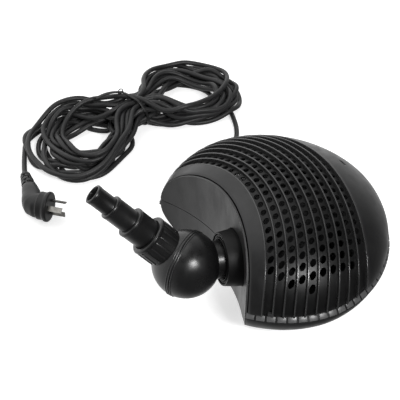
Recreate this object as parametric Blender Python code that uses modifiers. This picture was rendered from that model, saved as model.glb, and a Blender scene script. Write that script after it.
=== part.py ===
"""Fountain and pond filter pump: strainer cage, wet-rotor motor, ball elbow, hose barb and mains lead.

Metres, +Z up. The origin is on the floor below the middle of the cage, and the outlet points towards -X.
"""
import math

import bmesh
import bpy
from mathutils import Matrix, Vector

# ---- driving dimensions ----
GAP = 0.0003              # between pieces that touch
WALL = 0.0025             # moulded wall of the cage

CAGE_FRONT = 0.1218       # from the middle to the (cut away) front of the plan
CAGE_REAR = 0.1289        # from the middle to the nose
CAGE_HALF_WIDTH = 0.132
PARTING_Z = 0.049         # where the two cage halves meet
DOME_RISE = 0.078         # of the upper half above the parting line
BOWL_DROP = 0.062         # of the full lower curve, which the flat base cuts short
RIM_BAND = 0.007          # upright rim of the lower half
RIM_LEDGE = 0.0012        # how far that rim stands proud
PLAN_POWER = 1.05         # 1 gives an ellipse, more gives a slightly pinched plan
BASE_Z = 0.0              # flat underside of the lower half, which stands on the floor

SCOOP_X = -0.2205         # axis of the upright cylinder that hollows the front
SCOOP_RADIUS = 0.1666

LATCH_X = -0.064          # press tabs on both sides of the cage
LATCH_WIDTH = 0.005
LATCH_LENGTH = 0.018
LATCH_THICK = 0.0016
LATCH_INSET = 0.0065      # from the cage's outer face to the tongue

OUTLET_ANGLE = math.radians(11.5)   # round the scoop, towards -Y
OUTLET_TILT = math.radians(6)
OUTLET_Z = 0.0606         # outlet axis at the scoop wall
CUP_LENGTH = 0.0187       # outlet cup beyond the wall
CUP_RADIUS = 0.0275       # at its mouth
CUP_FLARE = 0.002         # added at the wall
CUP_BORE = 0.0257
CUP_CLEARANCE = 0.0004    # between the cup and the hole for it in the cage
SEAT_FRONT = 0.004        # face that the elbow's flange seats on
SEAT_BACK = -0.006
THROAT_RADIUS = 0.014     # water way through the outlet
PORT_END = -0.014         # end of the chamber's port, from the wall
SOCKET_END = -0.030       # end of the socket round that port
SEAL_THICK = 0.0008       # neck seal
BIG = 0.1                 # reach of a cutter that runs past everything

BALL_RADIUS = 0.0348
BALL_BEHIND = 0.0199      # wall to the back of the ball
BALL_REACH = BALL_BEHIND + BALL_RADIUS    # wall to the centre of the ball
BALL_WALL = 0.003
SEAL_RADIUS = BALL_RADIUS - BALL_WALL / 2    # of the seal between the ball's halves
SEAL_WIRE = 0.0006        # half of that seal's section
SEAL_ROOM = 0.0003        # round it in its groove
FIT = 0.0004              # between parts that turn on each other
NECK_RADIUS = 0.0195
FLANGE_RADIUS = 0.0225
FLANGE_THICK = 0.0034
NECK_BORE = 0.0155
RING_FRONT = 0.0180       # outer face of the union ring, from the wall
JOINT_ANGLE = math.radians(45)      # the ball is cut at 45 degrees to both necks
TWIST = math.radians(62.4)          # of the outer half, from straight

SPIGOT_RADIUS = 0.0172
SPIGOT_END = BALL_RADIUS + 0.0092    # from the ball's centre, as are the other barb lengths
SPIGOT_BORE = 0.0130
NUT_FRONT = SPIGOT_END + 0.0093
NUT_RADIUS = 0.0212
BARB_STEPS = tuple((SPIGOT_END + reach, radius) for reach, radius in (
    (0.0321, 0.0160), (0.0577, 0.0125), (0.0796, 0.0100)))      # end of each step, its radius
BARB_RIDGE = 0.0005       # raised lip at the end of each step
BARB_WALL = 0.0022

PUMP_BACK = 0.062         # wall to the motor's axis, along the outlet
PUMP_DROP = 0.008         # motor's axis below the outlet's
CHAMBER_RADIUS = 0.027
CHAMBER_WALL = 0.003
COVER_THICK = 0.0032
EYE_RADIUS = 0.0095       # intake eye in the cover
BAR = 0.0011              # half width of the bars across the eye
PORT_RADIUS = 0.0098
PORT_WALL = 0.0024
CHAMBER_HALF = PORT_RADIUS + PORT_WALL + GAP
IMPELLER_RADIUS = 0.0205
BLADES = 6
BLADE_THICK = 0.0016
PLATE_BACK = 0.0062       # impeller's back plate
PLATE_DEEP = 0.0018
MAGNET_RADIUS = 0.0100
MAGNET_END = 0.0460
SHAFT_RADIUS = 0.0020
RUNNING = 0.0003          # shaft clearance
WELL_BORE = 0.0108
WELL_WALL = 0.0017
MOTOR_LONG = (-0.0605, 0.0275)      # motor case along the outlet
MOTOR_HALF = 0.029
MOTOR_FRONT = CHAMBER_HALF + GAP
PLATE_THICK = 0.0022
MOTOR_END = 0.0540
WELL_END = 0.0513
POST = 0.0040             # radius of a screw post
CORE_THICK = (0.0240, 0.0440)
CORE_HALF = 0.0200
LEG_INNER = 0.0070
YOKE = 0.0120
COIL = (-0.0420, -0.0165)
COIL_THICK = 0.0048
SCREW_RADIUS = 0.0015

LEAD_RADIUS = 0.0032
GLAND_AT = Vector((0.045, 0.1136, 0.022))
GLAND_LENGTH = 0.036
GLAND_RADIUS = 0.0070
GLAND_INSIDE = 0.0075     # length inside the cage's wall
HANK_CENTRE = Vector((-0.0225, 0.294, 0))
HANK_TURN = math.radians(9.8)
HANK_HALF_LENGTH = 0.155
HANK_LOBE = 0.115
HANK_PINCH = 0.652
HANK_HEIGHT = 0.042
HANK_POINTS = 40
TIE_THICK = 0.0012
TIE_HALF_WIDTH = 0.0015
FLOOR_LEAD = LEAD_RADIUS + GAP
HANK_IN = Vector((0.0985, 0.2580, FLOOR_LEAD))       # ends of the free stretches, in the hank's sides
HANK_OUT = Vector((-0.1715, 0.3040, FLOOR_LEAD))
PLUG_FACE = Vector((-0.186, 0.173, 0.018))
PLUG_TURN = math.radians(-42)       # the way the pins point
PLUG_HEAD_RADIUS = 0.0178
PLUG_HEAD_DEPTH = 0.013
PLUG_NECK = Vector((-0.194, 0.222, 0.013))
RELIEF_START = 0.0026     # clear of the grip, which leaves at a slight angle
RELIEF_END = Vector((-0.1875, 0.2600, 0.0040))
BLADE = (0.0008, 0.0031, 0.0170)     # half thickness, half width and length of a plug pin

Z = Vector((0, 0, 1))

# ---- scene ----
for old in list(bpy.data.objects):
    bpy.data.objects.remove(old)

parts = bpy.data.collections.new("filter_pump")
cutters = bpy.data.collections.new("cutters")
for collection in (parts, cutters):
    bpy.context.scene.collection.children.link(collection)


def plastic(name, colour, roughness, metallic=0.0):
    """Make one plain Principled material."""
    mat = bpy.data.materials.new(name)
    mat.use_nodes = True
    shader = mat.node_tree.nodes["Principled BSDF"]
    shader.inputs["Base Color"].default_value = (*colour, 1)
    shader.inputs["Roughness"].default_value = roughness
    shader.inputs["Metallic"].default_value = metallic
    return mat


CAGE = plastic("cage_plastic", (0.020, 0.020, 0.021), 0.42)
FITTING = plastic("fitting_plastic", (0.017, 0.017, 0.018), 0.38)
MOTOR = plastic("motor_plastic", (0.03, 0.03, 0.032), 0.5)
RUBBER = plastic("black_rubber", (0.022, 0.022, 0.022), 0.75)
LEAD = plastic("lead_rubber", (0.028, 0.028, 0.029), 0.6)
STEEL = plastic("steel", (0.62, 0.62, 0.63), 0.3, 1.0)
IRON = plastic("laminated_iron", (0.25, 0.25, 0.26), 0.45, 1.0)
COPPER = plastic("copper_winding", (0.6, 0.26, 0.12), 0.4, 1.0)
CERAMIC = plastic("ceramic", (0.85, 0.84, 0.8), 0.25)
FERRITE = plastic("ferrite", (0.07, 0.07, 0.075), 0.5)
BRASS = plastic("nickel_pin", (0.66, 0.64, 0.58), 0.28, 1.0)


def axes(name, origin, z_axis, x_hint):
    """An empty whose local Z is z_axis, with local X as near x_hint as it can be."""
    z = z_axis.normalized()
    x = (x_hint - z * x_hint.dot(z)).normalized()
    y = z.cross(x)
    empty = bpy.data.objects.new(name, None)
    empty.matrix_world = Matrix((x, y, z)).transposed().to_4x4()
    empty.matrix_world.translation = origin
    parts.objects.link(empty)
    bpy.context.view_layer.update()
    return empty


def add(name, data, mat=None, parent=None, at=(0, 0, 0)):
    """Link a new object: a part when it has a material, a cutter when it has none."""
    obj = bpy.data.objects.new(name, data)
    obj.location = at
    obj.parent = parent
    if mat:
        data.materials.append(mat)
        parts.objects.link(obj)
    else:
        cutters.objects.link(obj)
        obj.hide_render = True
        obj.display_type = "WIRE"
    return obj


def from_bmesh(name, bm, mat=None, parent=None, at=(0, 0, 0)):
    mesh = bpy.data.meshes.new(name)
    bm.to_mesh(mesh)
    bm.free()
    return add(name, mesh, mat, parent, at)


def block(name, low, high, mat=None, parent=None, bevel=0.0):
    """A box between two corners, with rounded edges if bevel is given."""
    low, high = Vector(low), Vector(high)
    bm = bmesh.new()
    bmesh.ops.create_cube(bm, size=1)
    bmesh.ops.scale(bm, vec=high - low, verts=bm.verts)
    bmesh.ops.translate(bm, vec=(low + high) / 2, verts=bm.verts)
    obj = from_bmesh(name, bm, mat, parent)
    if bevel:
        rounding = obj.modifiers.new("rounding", "BEVEL")
        rounding.width = bevel
        rounding.segments = 2
    return obj


def rod(name, radius, z0, z1, mat=None, parent=None, at=(0, 0), end_radius=None, sides=24):
    """A cylinder or cone along the local Z axis, from z0 to z1."""
    bm = bmesh.new()
    bmesh.ops.create_cone(bm, cap_ends=True, segments=sides, radius1=radius,
                          radius2=radius if end_radius is None else end_radius, depth=z1 - z0)
    bmesh.ops.translate(bm, vec=(at[0], at[1], (z0 + z1) / 2), verts=bm.verts)
    return from_bmesh(name, bm, mat, parent)


def turned(name, profile, mat=None, parent=None, closed=True, steps=24):
    """Turn a profile of (radius, z) points round the local Z axis. Its outer side runs downwards."""
    bm = bmesh.new()
    verts = [bm.verts.new((radius, 0, z)) for radius, z in profile]
    for a, b in zip(verts, verts[1:]):
        bm.edges.new((a, b))
    if closed:
        bm.edges.new((verts[-1], verts[0]))
    obj = from_bmesh(name, bm, mat, parent)
    screw = obj.modifiers.new("turn", "SCREW")
    screw.steps = screw.render_steps = steps
    screw.use_merge_vertices = True
    screw.merge_threshold = 0.00001
    screw.use_smooth_shade = True
    return obj


def ring(name, inner, outer, z0, z1, mat=None, parent=None, steps=24):
    """A plain ring or tube along the local Z axis."""
    return turned(name, [(outer, z1), (outer, z0), (inner, z0), (inner, z1)], mat, parent, steps=steps)


def combine(obj, other, operation):
    """Boolean of obj with a cutter object."""
    step = obj.modifiers.new(operation.lower(), "BOOLEAN")
    step.operation = operation
    step.solver = "EXACT"
    step.object = other
    return obj


def cut(obj, *others):
    for other in others:
        combine(obj, other, "DIFFERENCE")
    return obj


def join(obj, *others):
    for other in others:
        combine(obj, other, "UNION")
    return obj


def arc(radius, start, end, count):
    """Points on a circle about the origin; the angle is measured from +Z, in degrees."""
    steps = [math.radians(start + (end - start) * i / count) for i in range(count + 1)]
    return [(radius * math.sin(a), radius * math.cos(a)) for a in steps]


# ---- cage ----
def cage_volume(name, inset, low_z=None, high_z=None, proud=0.0, mat=None):
    """The solid egg shape of the cage, set in by inset and cut flat at low_z and high_z."""
    bm = bmesh.new()
    bmesh.ops.create_uvsphere(bm, u_segments=36, v_segments=18, radius=1)
    for vert in bm.verts:
        x, y, z = (math.copysign(abs(c) ** PLAN_POWER, c) for c in vert.co)
        length = CAGE_REAR if x > 0 else CAGE_FRONT
        rise = DOME_RISE if z > 0 else BOWL_DROP
        vert.co = ((length - inset + proud) * x, (CAGE_HALF_WIDTH - inset + proud) * y, (rise - inset) * z)
    bmesh.ops.translate(bm, vec=(0, 0, PARTING_Z), verts=bm.verts)
    for height, keeps_above in ((low_z, True), (high_z, False)):
        if height is None:
            continue
        cut_result = bmesh.ops.bisect_plane(
            bm, geom=bm.verts[:] + bm.edges[:] + bm.faces[:], dist=0.00001, plane_co=(0, 0, height),
            plane_no=(0, 0, 1), clear_inner=keeps_above, clear_outer=not keeps_above)
        edges = [e for e in cut_result["geom_cut"] if isinstance(e, bmesh.types.BMEdge)]
        bmesh.ops.contextual_create(bm, geom=edges)
    bmesh.ops.recalc_face_normals(bm, faces=bm.faces)
    return from_bmesh(name, bm, mat)


def scoop_cylinder(name, radius):
    cutter = rod(name, radius, -0.05, 0.3, sides=96)
    cutter.location = (SCOOP_X, 0, 0)
    return cutter


scoop = scoop_cylinder("scoop", SCOOP_RADIUS)
scoop_inside = scoop_cylinder("scoop_inside", SCOOP_RADIUS + WALL)
bowl_line = PARTING_Z - RIM_BAND

outlet_dir = Vector((-math.cos(OUTLET_ANGLE) * math.cos(OUTLET_TILT),
                     math.sin(OUTLET_ANGLE) * math.cos(OUTLET_TILT), math.sin(OUTLET_TILT)))
side_dir = Vector((math.sin(OUTLET_ANGLE), math.cos(OUTLET_ANGLE), 0))
outlet_at = Vector((SCOOP_X + SCOOP_RADIUS * math.cos(OUTLET_ANGLE),
                    -SCOOP_RADIUS * math.sin(OUTLET_ANGLE), OUTLET_Z))
outlet_axis = axes("outlet_axis", outlet_at, outlet_dir, side_dir)

cup_hole_radius = CUP_RADIUS + CUP_FLARE + CUP_CLEARANCE
cup_hole = rod("cup_hole", cup_hole_radius, -0.02, 0.02, parent=outlet_axis, sides=48)
cup_slot = block("cup_slot", (-cup_hole_radius, -0.001, -0.02), (cup_hole_radius, 0.04, 0.02),
                 parent=outlet_axis)


def cage_half(name, low_z, high_z, proud=0.0):
    """One half of the cage: an even wall round the egg and across the hollow front."""
    inside = cut(cage_volume(name + "_inside", WALL, *([BASE_Z + WALL, None] if proud else [None, None])),
                 scoop_inside)
    return cut(cage_volume(name, 0, low_z, high_z, proud, CAGE), scoop, inside)


def side_point(x, inset=0.0):
    """Distance of the cage's side from the middle line, at the parting line."""
    length = (CAGE_REAR if x > 0 else CAGE_FRONT) - inset
    plan = 2 / PLAN_POWER
    return (CAGE_HALF_WIDTH - inset) * (1 - (abs(x) / length) ** plan) ** (1 / plan)


def side_normal(x):
    step = 0.001
    slope = (side_point(x + step) - side_point(x - step)) / (2 * step)
    return Vector((-slope, 1, 0)).normalized()


upper_cage = cage_half("upper_cage", PARTING_Z, None)
lower_cage = cage_half("lower_cage", BASE_Z, PARTING_Z - GAP, RIM_LEDGE)
cut(upper_cage, cup_hole, cup_slot)
cut(lower_cage, cup_hole)

latch_axes = {}
for side, word in ((-1, "near"), (1, "far")):
    normal = side_normal(LATCH_X)
    normal.y *= side
    point = Vector((LATCH_X, side * side_point(LATCH_X), PARTING_Z))
    hinge = axes("latch_axis_" + word, point - normal * LATCH_INSET - Z * 0.010, Z, normal)
    latch_axes[word] = hinge
    half = LATCH_WIDTH / 2
    notch = block("latch_notch_" + word, (0, -half - GAP, 0.009), (0.03, half + GAP, 0.0155), parent=hinge)
    cut(upper_cage, notch)
    tongue = block("latch_" + word, (-LATCH_THICK, -0.004, 0), (0, 0.004, LATCH_LENGTH), CAGE, hinge)
    tooth = block("latch_tooth_" + word, (-0.0008, -half, 0.0105), (LATCH_INSET - 0.0004, half, 0.0145),
                  parent=hinge)
    join(tongue, tooth)

# ---- outlet: cup, union ring, ball elbow ----
cup_root = CUP_RADIUS + CUP_FLARE
port_outer = PORT_RADIUS + PORT_WALL
socket_bore = port_outer + GAP
socket_outer = socket_bore + 0.0030
turned("outlet_nozzle", [
    (CUP_RADIUS, CUP_LENGTH), (cup_root, 0.006), (cup_root, SEAT_BACK), (socket_outer, SEAT_BACK - 0.002),
    (socket_outer, SOCKET_END), (socket_bore, SOCKET_END), (socket_bore, PORT_END + GAP),
    (THROAT_RADIUS, PORT_END + 0.003), (THROAT_RADIUS, SEAT_FRONT), (CUP_BORE, SEAT_FRONT),
    (CUP_BORE, CUP_LENGTH)], FITTING, outlet_axis, steps=28)
flange_back = SEAT_FRONT + SEAL_THICK + 2 * GAP
ring("neck_seal", NECK_BORE, FLANGE_RADIUS, SEAT_FRONT + GAP, flange_back - GAP, RUBBER, outlet_axis,
     steps=28)
ring_bore = NECK_RADIUS + FIT
flange_front = flange_back + FLANGE_THICK
ring("union_ring", ring_bore, CUP_BORE - GAP, flange_front + GAP, RING_FRONT, FITTING, outlet_axis, steps=28)

ball_at = outlet_at + outlet_dir * BALL_REACH
cut_dir = outlet_dir * math.cos(JOINT_ANGLE) + side_dir * math.sin(JOINT_ANGLE)
elbow_axis = axes("elbow_axis", ball_at, cut_dir, outlet_dir)
barb_dir = Matrix.Rotation(TWIST, 3, cut_dir) @ outlet_dir
barb_axis = axes("barb_axis", ball_at, barb_dir, cut_dir)
front_half = block("front_half", (-BIG, -BIG, -GAP / 2), (BIG, BIG, BIG), parent=elbow_axis)
back_half = block("back_half", (-BIG, -BIG, -BIG), (BIG, BIG, GAP / 2), parent=elbow_axis)
groove_half = SEAL_WIRE + SEAL_ROOM
seal_groove = ring("seal_groove", SEAL_RADIUS - groove_half, SEAL_RADIUS + groove_half, -groove_half - 0.0001,
                   groove_half + 0.0001, parent=elbow_axis, steps=28)
ball_bore = BALL_RADIUS - BALL_WALL


def angle_at(sphere, radius):
    """Angle from the axis, in degrees, at which a sphere is as wide as radius."""
    return math.degrees(math.asin(radius / sphere))


def moved(points, shift):
    return [(radius, z + shift) for radius, z in points]


inner_profile = (
    moved(arc(BALL_RADIUS, 0, 180 - angle_at(BALL_RADIUS, NECK_RADIUS), 12), BALL_REACH)
    + [(NECK_RADIUS, flange_front), (FLANGE_RADIUS, flange_front), (FLANGE_RADIUS, flange_back),
       (NECK_BORE, flange_back)]
    + moved(arc(ball_bore, 180 - angle_at(ball_bore, NECK_BORE), 0, 11), BALL_REACH))
ball_inner = turned("ball_inner_half", inner_profile, FITTING, outlet_axis, closed=False, steps=28)
cut(ball_inner, front_half, seal_groove)

outer_profile = (
    arc(ball_bore, 180, angle_at(ball_bore, SPIGOT_BORE), 11)
    + [(SPIGOT_BORE, SPIGOT_END), (SPIGOT_RADIUS, SPIGOT_END)]
    + arc(BALL_RADIUS, angle_at(BALL_RADIUS, SPIGOT_RADIUS), 180, 12))
ball_outer = turned("ball_outer_half", outer_profile, FITTING, barb_axis, closed=False, steps=28)
cut(ball_outer, back_half, seal_groove)
ring("ball_seal", SEAL_RADIUS - SEAL_WIRE, SEAL_RADIUS + SEAL_WIRE, -SEAL_WIRE - 0.0001, SEAL_WIRE + 0.0001,
     RUBBER, elbow_axis, steps=28)

# ---- hose barb and nut ----
gasket_back = SPIGOT_END + GAP
gasket_front = gasket_back + 0.0015
barb_back = gasket_front + GAP
barb_flange = barb_back + 0.0028
ring("barb_gasket", SPIGOT_BORE, SPIGOT_RADIUS, gasket_back, gasket_front, RUBBER, barb_axis)


def barb_profile():
    """Outer side from the tip down to the flange, then the tapering bore back up."""
    outer = []
    start = barb_flange
    for end, radius in BARB_STEPS:
        outer = [(radius - 0.0004, end), (radius + BARB_RIDGE, end - 0.0010), (radius, end - 0.0024),
                 (radius, start)] + outer
        start = end
    bore_radii = [(radius - BARB_WALL, end) for end, radius in BARB_STEPS]
    outer += [(SPIGOT_RADIUS, barb_flange), (SPIGOT_RADIUS, barb_back), (SPIGOT_BORE, barb_back)]
    return outer + [(SPIGOT_BORE, bore_radii[0][1] - 0.006)] + \
        [(bore_radii[1][0], bore_radii[0][1] - 0.002), (bore_radii[1][0], bore_radii[1][1] - 0.005),
         (bore_radii[2][0], bore_radii[1][1] - 0.002), (bore_radii[2][0], bore_radii[2][1])]


turned("hose_barb", barb_profile(), FITTING, barb_axis)
first_step = BARB_STEPS[0][1]
nut_bore = SPIGOT_RADIUS + FIT
nut_back = math.sqrt(BALL_RADIUS ** 2 - nut_bore ** 2)      # where its bore meets the ball
lip_back = barb_flange + GAP
turned("hose_nut", [
    (NUT_RADIUS, NUT_FRONT - 0.001), (NUT_RADIUS, nut_back + 0.001), (NUT_RADIUS - 0.001, nut_back),
    (nut_bore, nut_back), (nut_bore, lip_back), (first_step + FIT, lip_back),
    (first_step + FIT, NUT_FRONT), (NUT_RADIUS - 0.001, NUT_FRONT)], FITTING, barb_axis, steps=36)

# ---- pump and motor ----
up_dir = side_dir.cross(outlet_dir)
motor_at = outlet_at - outlet_dir * PUMP_BACK - up_dir * PUMP_DROP
motor_axis = axes("motor_axis", motor_at, side_dir, outlet_dir)    # local X to the outlet, Y up
port_axis = axes("port_axis", motor_at + up_dir * PUMP_DROP, outlet_dir, side_dir)
port_end = PUMP_BACK + PORT_END
port_start = CHAMBER_RADIUS * 0.5
port_tube = rod("port_tube", port_outer, port_start, port_end, parent=port_axis)
port_way = rod("port_way", PORT_RADIUS, port_start * 0.9, port_end + 0.01, parent=port_axis)
chamber_bore = CHAMBER_RADIUS - CHAMBER_WALL
well_outer = WELL_BORE + WELL_WALL
chamber = rod("pump_chamber", CHAMBER_RADIUS, -CHAMBER_HALF, CHAMBER_HALF, MOTOR, motor_axis, sides=28)
join(chamber, port_tube)
cut(chamber,
    rod("chamber_bore", chamber_bore, -BIG, CHAMBER_HALF - CHAMBER_WALL, parent=motor_axis, sides=28),
    rod("rotor_hole", WELL_BORE + 0.001, -BIG, BIG, parent=motor_axis), port_way)

cover_front = -CHAMBER_HALF - GAP - COVER_THICK
cover = ring("intake_cover", EYE_RADIUS, CHAMBER_RADIUS, cover_front, -CHAMBER_HALF - GAP, MOTOR, motor_axis)
for number in range(2):
    reach = EYE_RADIUS + 0.001
    size = (reach, BAR) if number else (BAR, reach)
    join(cover, block("intake_bar_%d" % number, (-size[0], -size[1], cover_front + 0.0004),
                      (size[0], size[1], -CHAMBER_HALF - GAP - 0.0004), parent=motor_axis))

hub_bore = SHAFT_RADIUS + RUNNING
hub_end = MOTOR_FRONT + PLATE_THICK - GAP
plate_front = PLATE_BACK + PLATE_DEEP
impeller = turned("impeller", [
    (0.0080, hub_end), (0.0080, plate_front), (IMPELLER_RADIUS, plate_front),
    (IMPELLER_RADIUS, PLATE_BACK), (0.0065, PLATE_BACK), (0.0065, -0.0060), (hub_bore, -0.0060),
    (hub_bore, hub_end)], MOTOR, motor_axis)
for number in range(BLADES):
    blade = block("blade_%d" % number, (0.0055, -BLADE_THICK / 2, -0.0055),
                  (IMPELLER_RADIUS - 0.0006, BLADE_THICK / 2, PLATE_BACK + 0.0005), parent=motor_axis)
    blade.rotation_euler.z = number * math.tau / BLADES
    join(impeller, blade)
magnet_start = MOTOR_FRONT + PLATE_THICK
ring("rotor_magnet", hub_bore, MAGNET_RADIUS, magnet_start, MAGNET_END, FERRITE, motor_axis)
bush_end = MAGNET_END + GAP + 0.0027
rod("motor_shaft", SHAFT_RADIUS, -0.0120, bush_end - 0.0003, CERAMIC, motor_axis, sides=20)
ring("front_bush", hub_bore, 0.0045, -0.0118, -0.0063, RUBBER, motor_axis, steps=24)
ring("rear_bush", hub_bore, 0.0060, MAGNET_END + GAP, bush_end, RUBBER, motor_axis, steps=24)

low_x, high_x = MOTOR_LONG
plate_end = MOTOR_FRONT + PLATE_THICK
well = rod("rotor_well", well_outer, MOTOR_FRONT + 0.0005, WELL_END, parent=motor_axis)
motor_plate = block("motor_plate", (low_x, -MOTOR_HALF, MOTOR_FRONT), (high_x, MOTOR_HALF, plate_end), MOTOR,
                    motor_axis)
join(motor_plate, well)
cut(motor_plate, rod("well_bore", WELL_BORE, 0, bush_end + GAP, parent=motor_axis))

case_start = plate_end + GAP
motor_case = block("motor_housing", (low_x, -MOTOR_HALF, case_start), (high_x, MOTOR_HALF, MOTOR_END), MOTOR,
                   motor_axis)
cut(motor_case, block("case_inside", (low_x + WALL, -MOTOR_HALF + WALL, 0),
                      (high_x - WALL, MOTOR_HALF - WALL, MOTOR_END - 0.0022), parent=motor_axis))
screw_at = [(x, y) for x in (low_x + POST + 0.0004, high_x - POST - 0.0004)
            for y in (-MOTOR_HALF + POST + 0.0004, MOTOR_HALF - POST - 0.0004)]
screw_end = case_start + 0.012
for number, at in enumerate(screw_at):
    post = rod("screw_post_%d" % number, POST, case_start, screw_end + 0.002, parent=motor_axis, at=at,
               sides=16)
    join(motor_case, post)
for number, at in enumerate(screw_at):
    hole = rod("screw_hole_%d" % number, SCREW_RADIUS + GAP, MOTOR_FRONT - 0.002, screw_end + GAP,
               parent=motor_axis, at=at, sides=12)
    cut(motor_case, hole)
    cut(motor_plate, hole)

head_back = MOTOR_FRONT - GAP
for number, (x, y) in enumerate(screw_at, 1):
    turned("motor_screw_%d" % number, [
        (0, screw_end), (SCREW_RADIUS, screw_end), (SCREW_RADIUS, head_back), (0.0029, head_back),
        (0.0029, head_back - 0.0018), (0, head_back - 0.0018)], STEEL, motor_axis, closed=False,
        steps=12).location = (x, y, 0)

# A U of iron laminations whose open end holds the rotor, with a coil on each leg.
core_low, core_high = CORE_THICK
core_back, core_front = low_x + 0.0045, 0.0205
core = block("stator_core", (core_back, -CORE_HALF, core_low), (core_front, CORE_HALF, core_high), IRON,
             motor_axis)
cut(core,
    block("core_window", (core_back + YOKE, -LEG_INNER, core_low - 0.01),
          (-0.005, LEG_INNER, core_high + 0.01), parent=motor_axis),
    rod("core_bore", well_outer + GAP, core_low - 0.01, core_high + 0.01, parent=motor_axis))
for word, side in (("upper", 1), ("lower", -1)):
    low_y, high_y = sorted((side * LEG_INNER, side * CORE_HALF))
    coil = block("winding_" + word, (COIL[0], low_y - COIL_THICK, core_low - COIL_THICK),
                 (COIL[1], high_y + COIL_THICK, core_high + COIL_THICK), COPPER, motor_axis)
    cut(coil, block("coil_hole_" + word, (COIL[0] - 0.01, low_y - GAP, core_low - GAP),
                    (COIL[1] + 0.01, high_y + GAP, core_high + GAP), parent=motor_axis))

cradle = block("motor_cradle", (-0.0500, -MOTOR_HALF - 0.020, 0.0220), (0.0120, -MOTOR_HALF - GAP, 0.0440),
               MOTOR, motor_axis)
cut(cradle,
    block("below_floor", (-BIG, -BIG, -BIG), (BIG, BIG, BASE_Z + WALL + GAP)),
    block("cradle_gap", (-0.0400, -MOTOR_HALF - 0.04, 0.010), (0.0020, -MOTOR_HALF - 0.004, 0.055),
          parent=motor_axis))

# ---- lead: glands, free stretches, tied hank and plug ----
lead_hole = LEAD_RADIUS + GAP
gland_x = low_x + 0.016
motor_gland = ring("motor_gland", lead_hole, 0.0065, MOTOR_END + GAP, MOTOR_END + 0.009, RUBBER, motor_axis)
motor_gland.location = (gland_x, 0, 0)
gland_axis = axes("gland_axis", GLAND_AT, Vector((0, 1, 0)), Z)
cut(lower_cage, rod("gland_hole", GLAND_RADIUS + GAP, -0.02, GLAND_LENGTH, parent=gland_axis))
turned("cable_gland", [
    (0.0045, GLAND_LENGTH), (0.0055, GLAND_LENGTH * 0.4), (GLAND_RADIUS, 0.006),
    (GLAND_RADIUS, -GLAND_INSIDE), (lead_hole, -GLAND_INSIDE), (lead_hole, GLAND_LENGTH)], RUBBER, gland_axis, steps=24)


def smooth(points, count):
    """Read count + 1 points from a Catmull-Rom curve through the route's points."""
    pts = [Vector(p) for p in points]
    pts = [2 * pts[0] - pts[1]] + pts + [2 * pts[-1] - pts[-2]]
    spans = len(pts) - 3
    out = []
    for i in range(count + 1):
        place = min(i * spans / count, spans - 1e-9)
        k = int(place)
        t = place - k
        a, b, c, d = pts[k:k + 4]
        out.append(0.5 * (2 * b + (c - a) * t + (2 * a - 5 * b + 4 * c - d) * t * t
                          + (3 * b - a - 3 * c + d) * t ** 3))
    return out


def lead(name, points, count):
    """A round cord through the route's points."""
    curve = bpy.data.curves.new(name, "CURVE")
    curve.dimensions = "3D"
    curve.bevel_depth = LEAD_RADIUS
    curve.bevel_resolution = 2
    curve.use_fill_caps = True
    route = smooth(points, count)
    spline = curve.splines.new("POLY")
    spline.points.add(len(route) - 1)
    for point, place in zip(spline.points, route):
        point.co = (*place, 1)
    return add(name, curve, LEAD)


def hank_edge(turn):
    """A point of the hank's outline, two lobes and a waist; turn goes from 0 to a full circle."""
    s = math.sin(turn)
    place = Vector((HANK_HALF_LENGTH * math.cos(turn), HANK_LOBE * s * (1 - HANK_PINCH * s ** 4), 0))
    return HANK_CENTRE + Matrix.Rotation(HANK_TURN, 3, "Z") @ place


def as_mesh(obj):
    """Replace a curve object by the mesh that it makes, with its caps welded on."""
    bpy.context.view_layer.update()
    shape = bpy.data.meshes.new_from_object(obj.evaluated_get(bpy.context.evaluated_depsgraph_get()))
    bm = bmesh.new()
    bm.from_mesh(shape)
    bmesh.ops.remove_doubles(bm, verts=bm.verts, dist=0.00001)
    bm.to_mesh(shape)
    bm.free()
    name, place = obj.name, obj.matrix_world.copy()
    bpy.data.objects.remove(obj)
    solid = bpy.data.objects.new(name, shape)
    solid.matrix_world = place
    parts.objects.link(solid)
    return solid


outline = bpy.data.curves.new("lead_hank", "CURVE")
outline.dimensions = "2D"
outline.fill_mode = "BOTH"
outline.extrude = HANK_HEIGHT / 2
spline = outline.splines.new("POLY")
spline.points.add(HANK_POINTS - 1)
spline.use_cyclic_u = True
for number, point in enumerate(spline.points):
    edge = hank_edge(number * math.tau / HANK_POINTS)
    point.co = (edge.x, edge.y, 0, 1)
hank = as_mesh(add("lead_hank", outline, LEAD, at=(0, 0, HANK_HEIGHT / 2)))

tie_axis = axes("tie_axis", HANK_CENTRE, Z, Matrix.Rotation(HANK_TURN, 3, "Z") @ Vector((1, 0, 0)))
tie_half = HANK_LOBE * (1 - HANK_PINCH) + 0.0012
tie = block("cord_tie", (-TIE_HALF_WIDTH, -tie_half - TIE_THICK, 0.0004),
            (TIE_HALF_WIDTH, tie_half + TIE_THICK, HANK_HEIGHT + GAP + TIE_THICK), RUBBER, tie_axis)
cut(tie, block("tie_inside", (-0.01, -tie_half, -0.01), (0.01, tie_half, HANK_HEIGHT + GAP), parent=tie_axis))

IN_DIR = Vector((-0.25, -0.97, 0)).normalized()      # the way each stretch leaves the hank
OUT_DIR = Vector((-0.33, -0.944, 0)).normalized()
for word, end, way in (("in", HANK_IN, IN_DIR), ("out", HANK_OUT, OUT_DIR)):
    channel_axis = axes("channel_axis_" + word, end, way, Z)
    half = lead_hole
    cut(hank, block("channel_" + word, (-0.01, -half, -GAP), (half, half, 0.04), parent=channel_axis))

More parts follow.
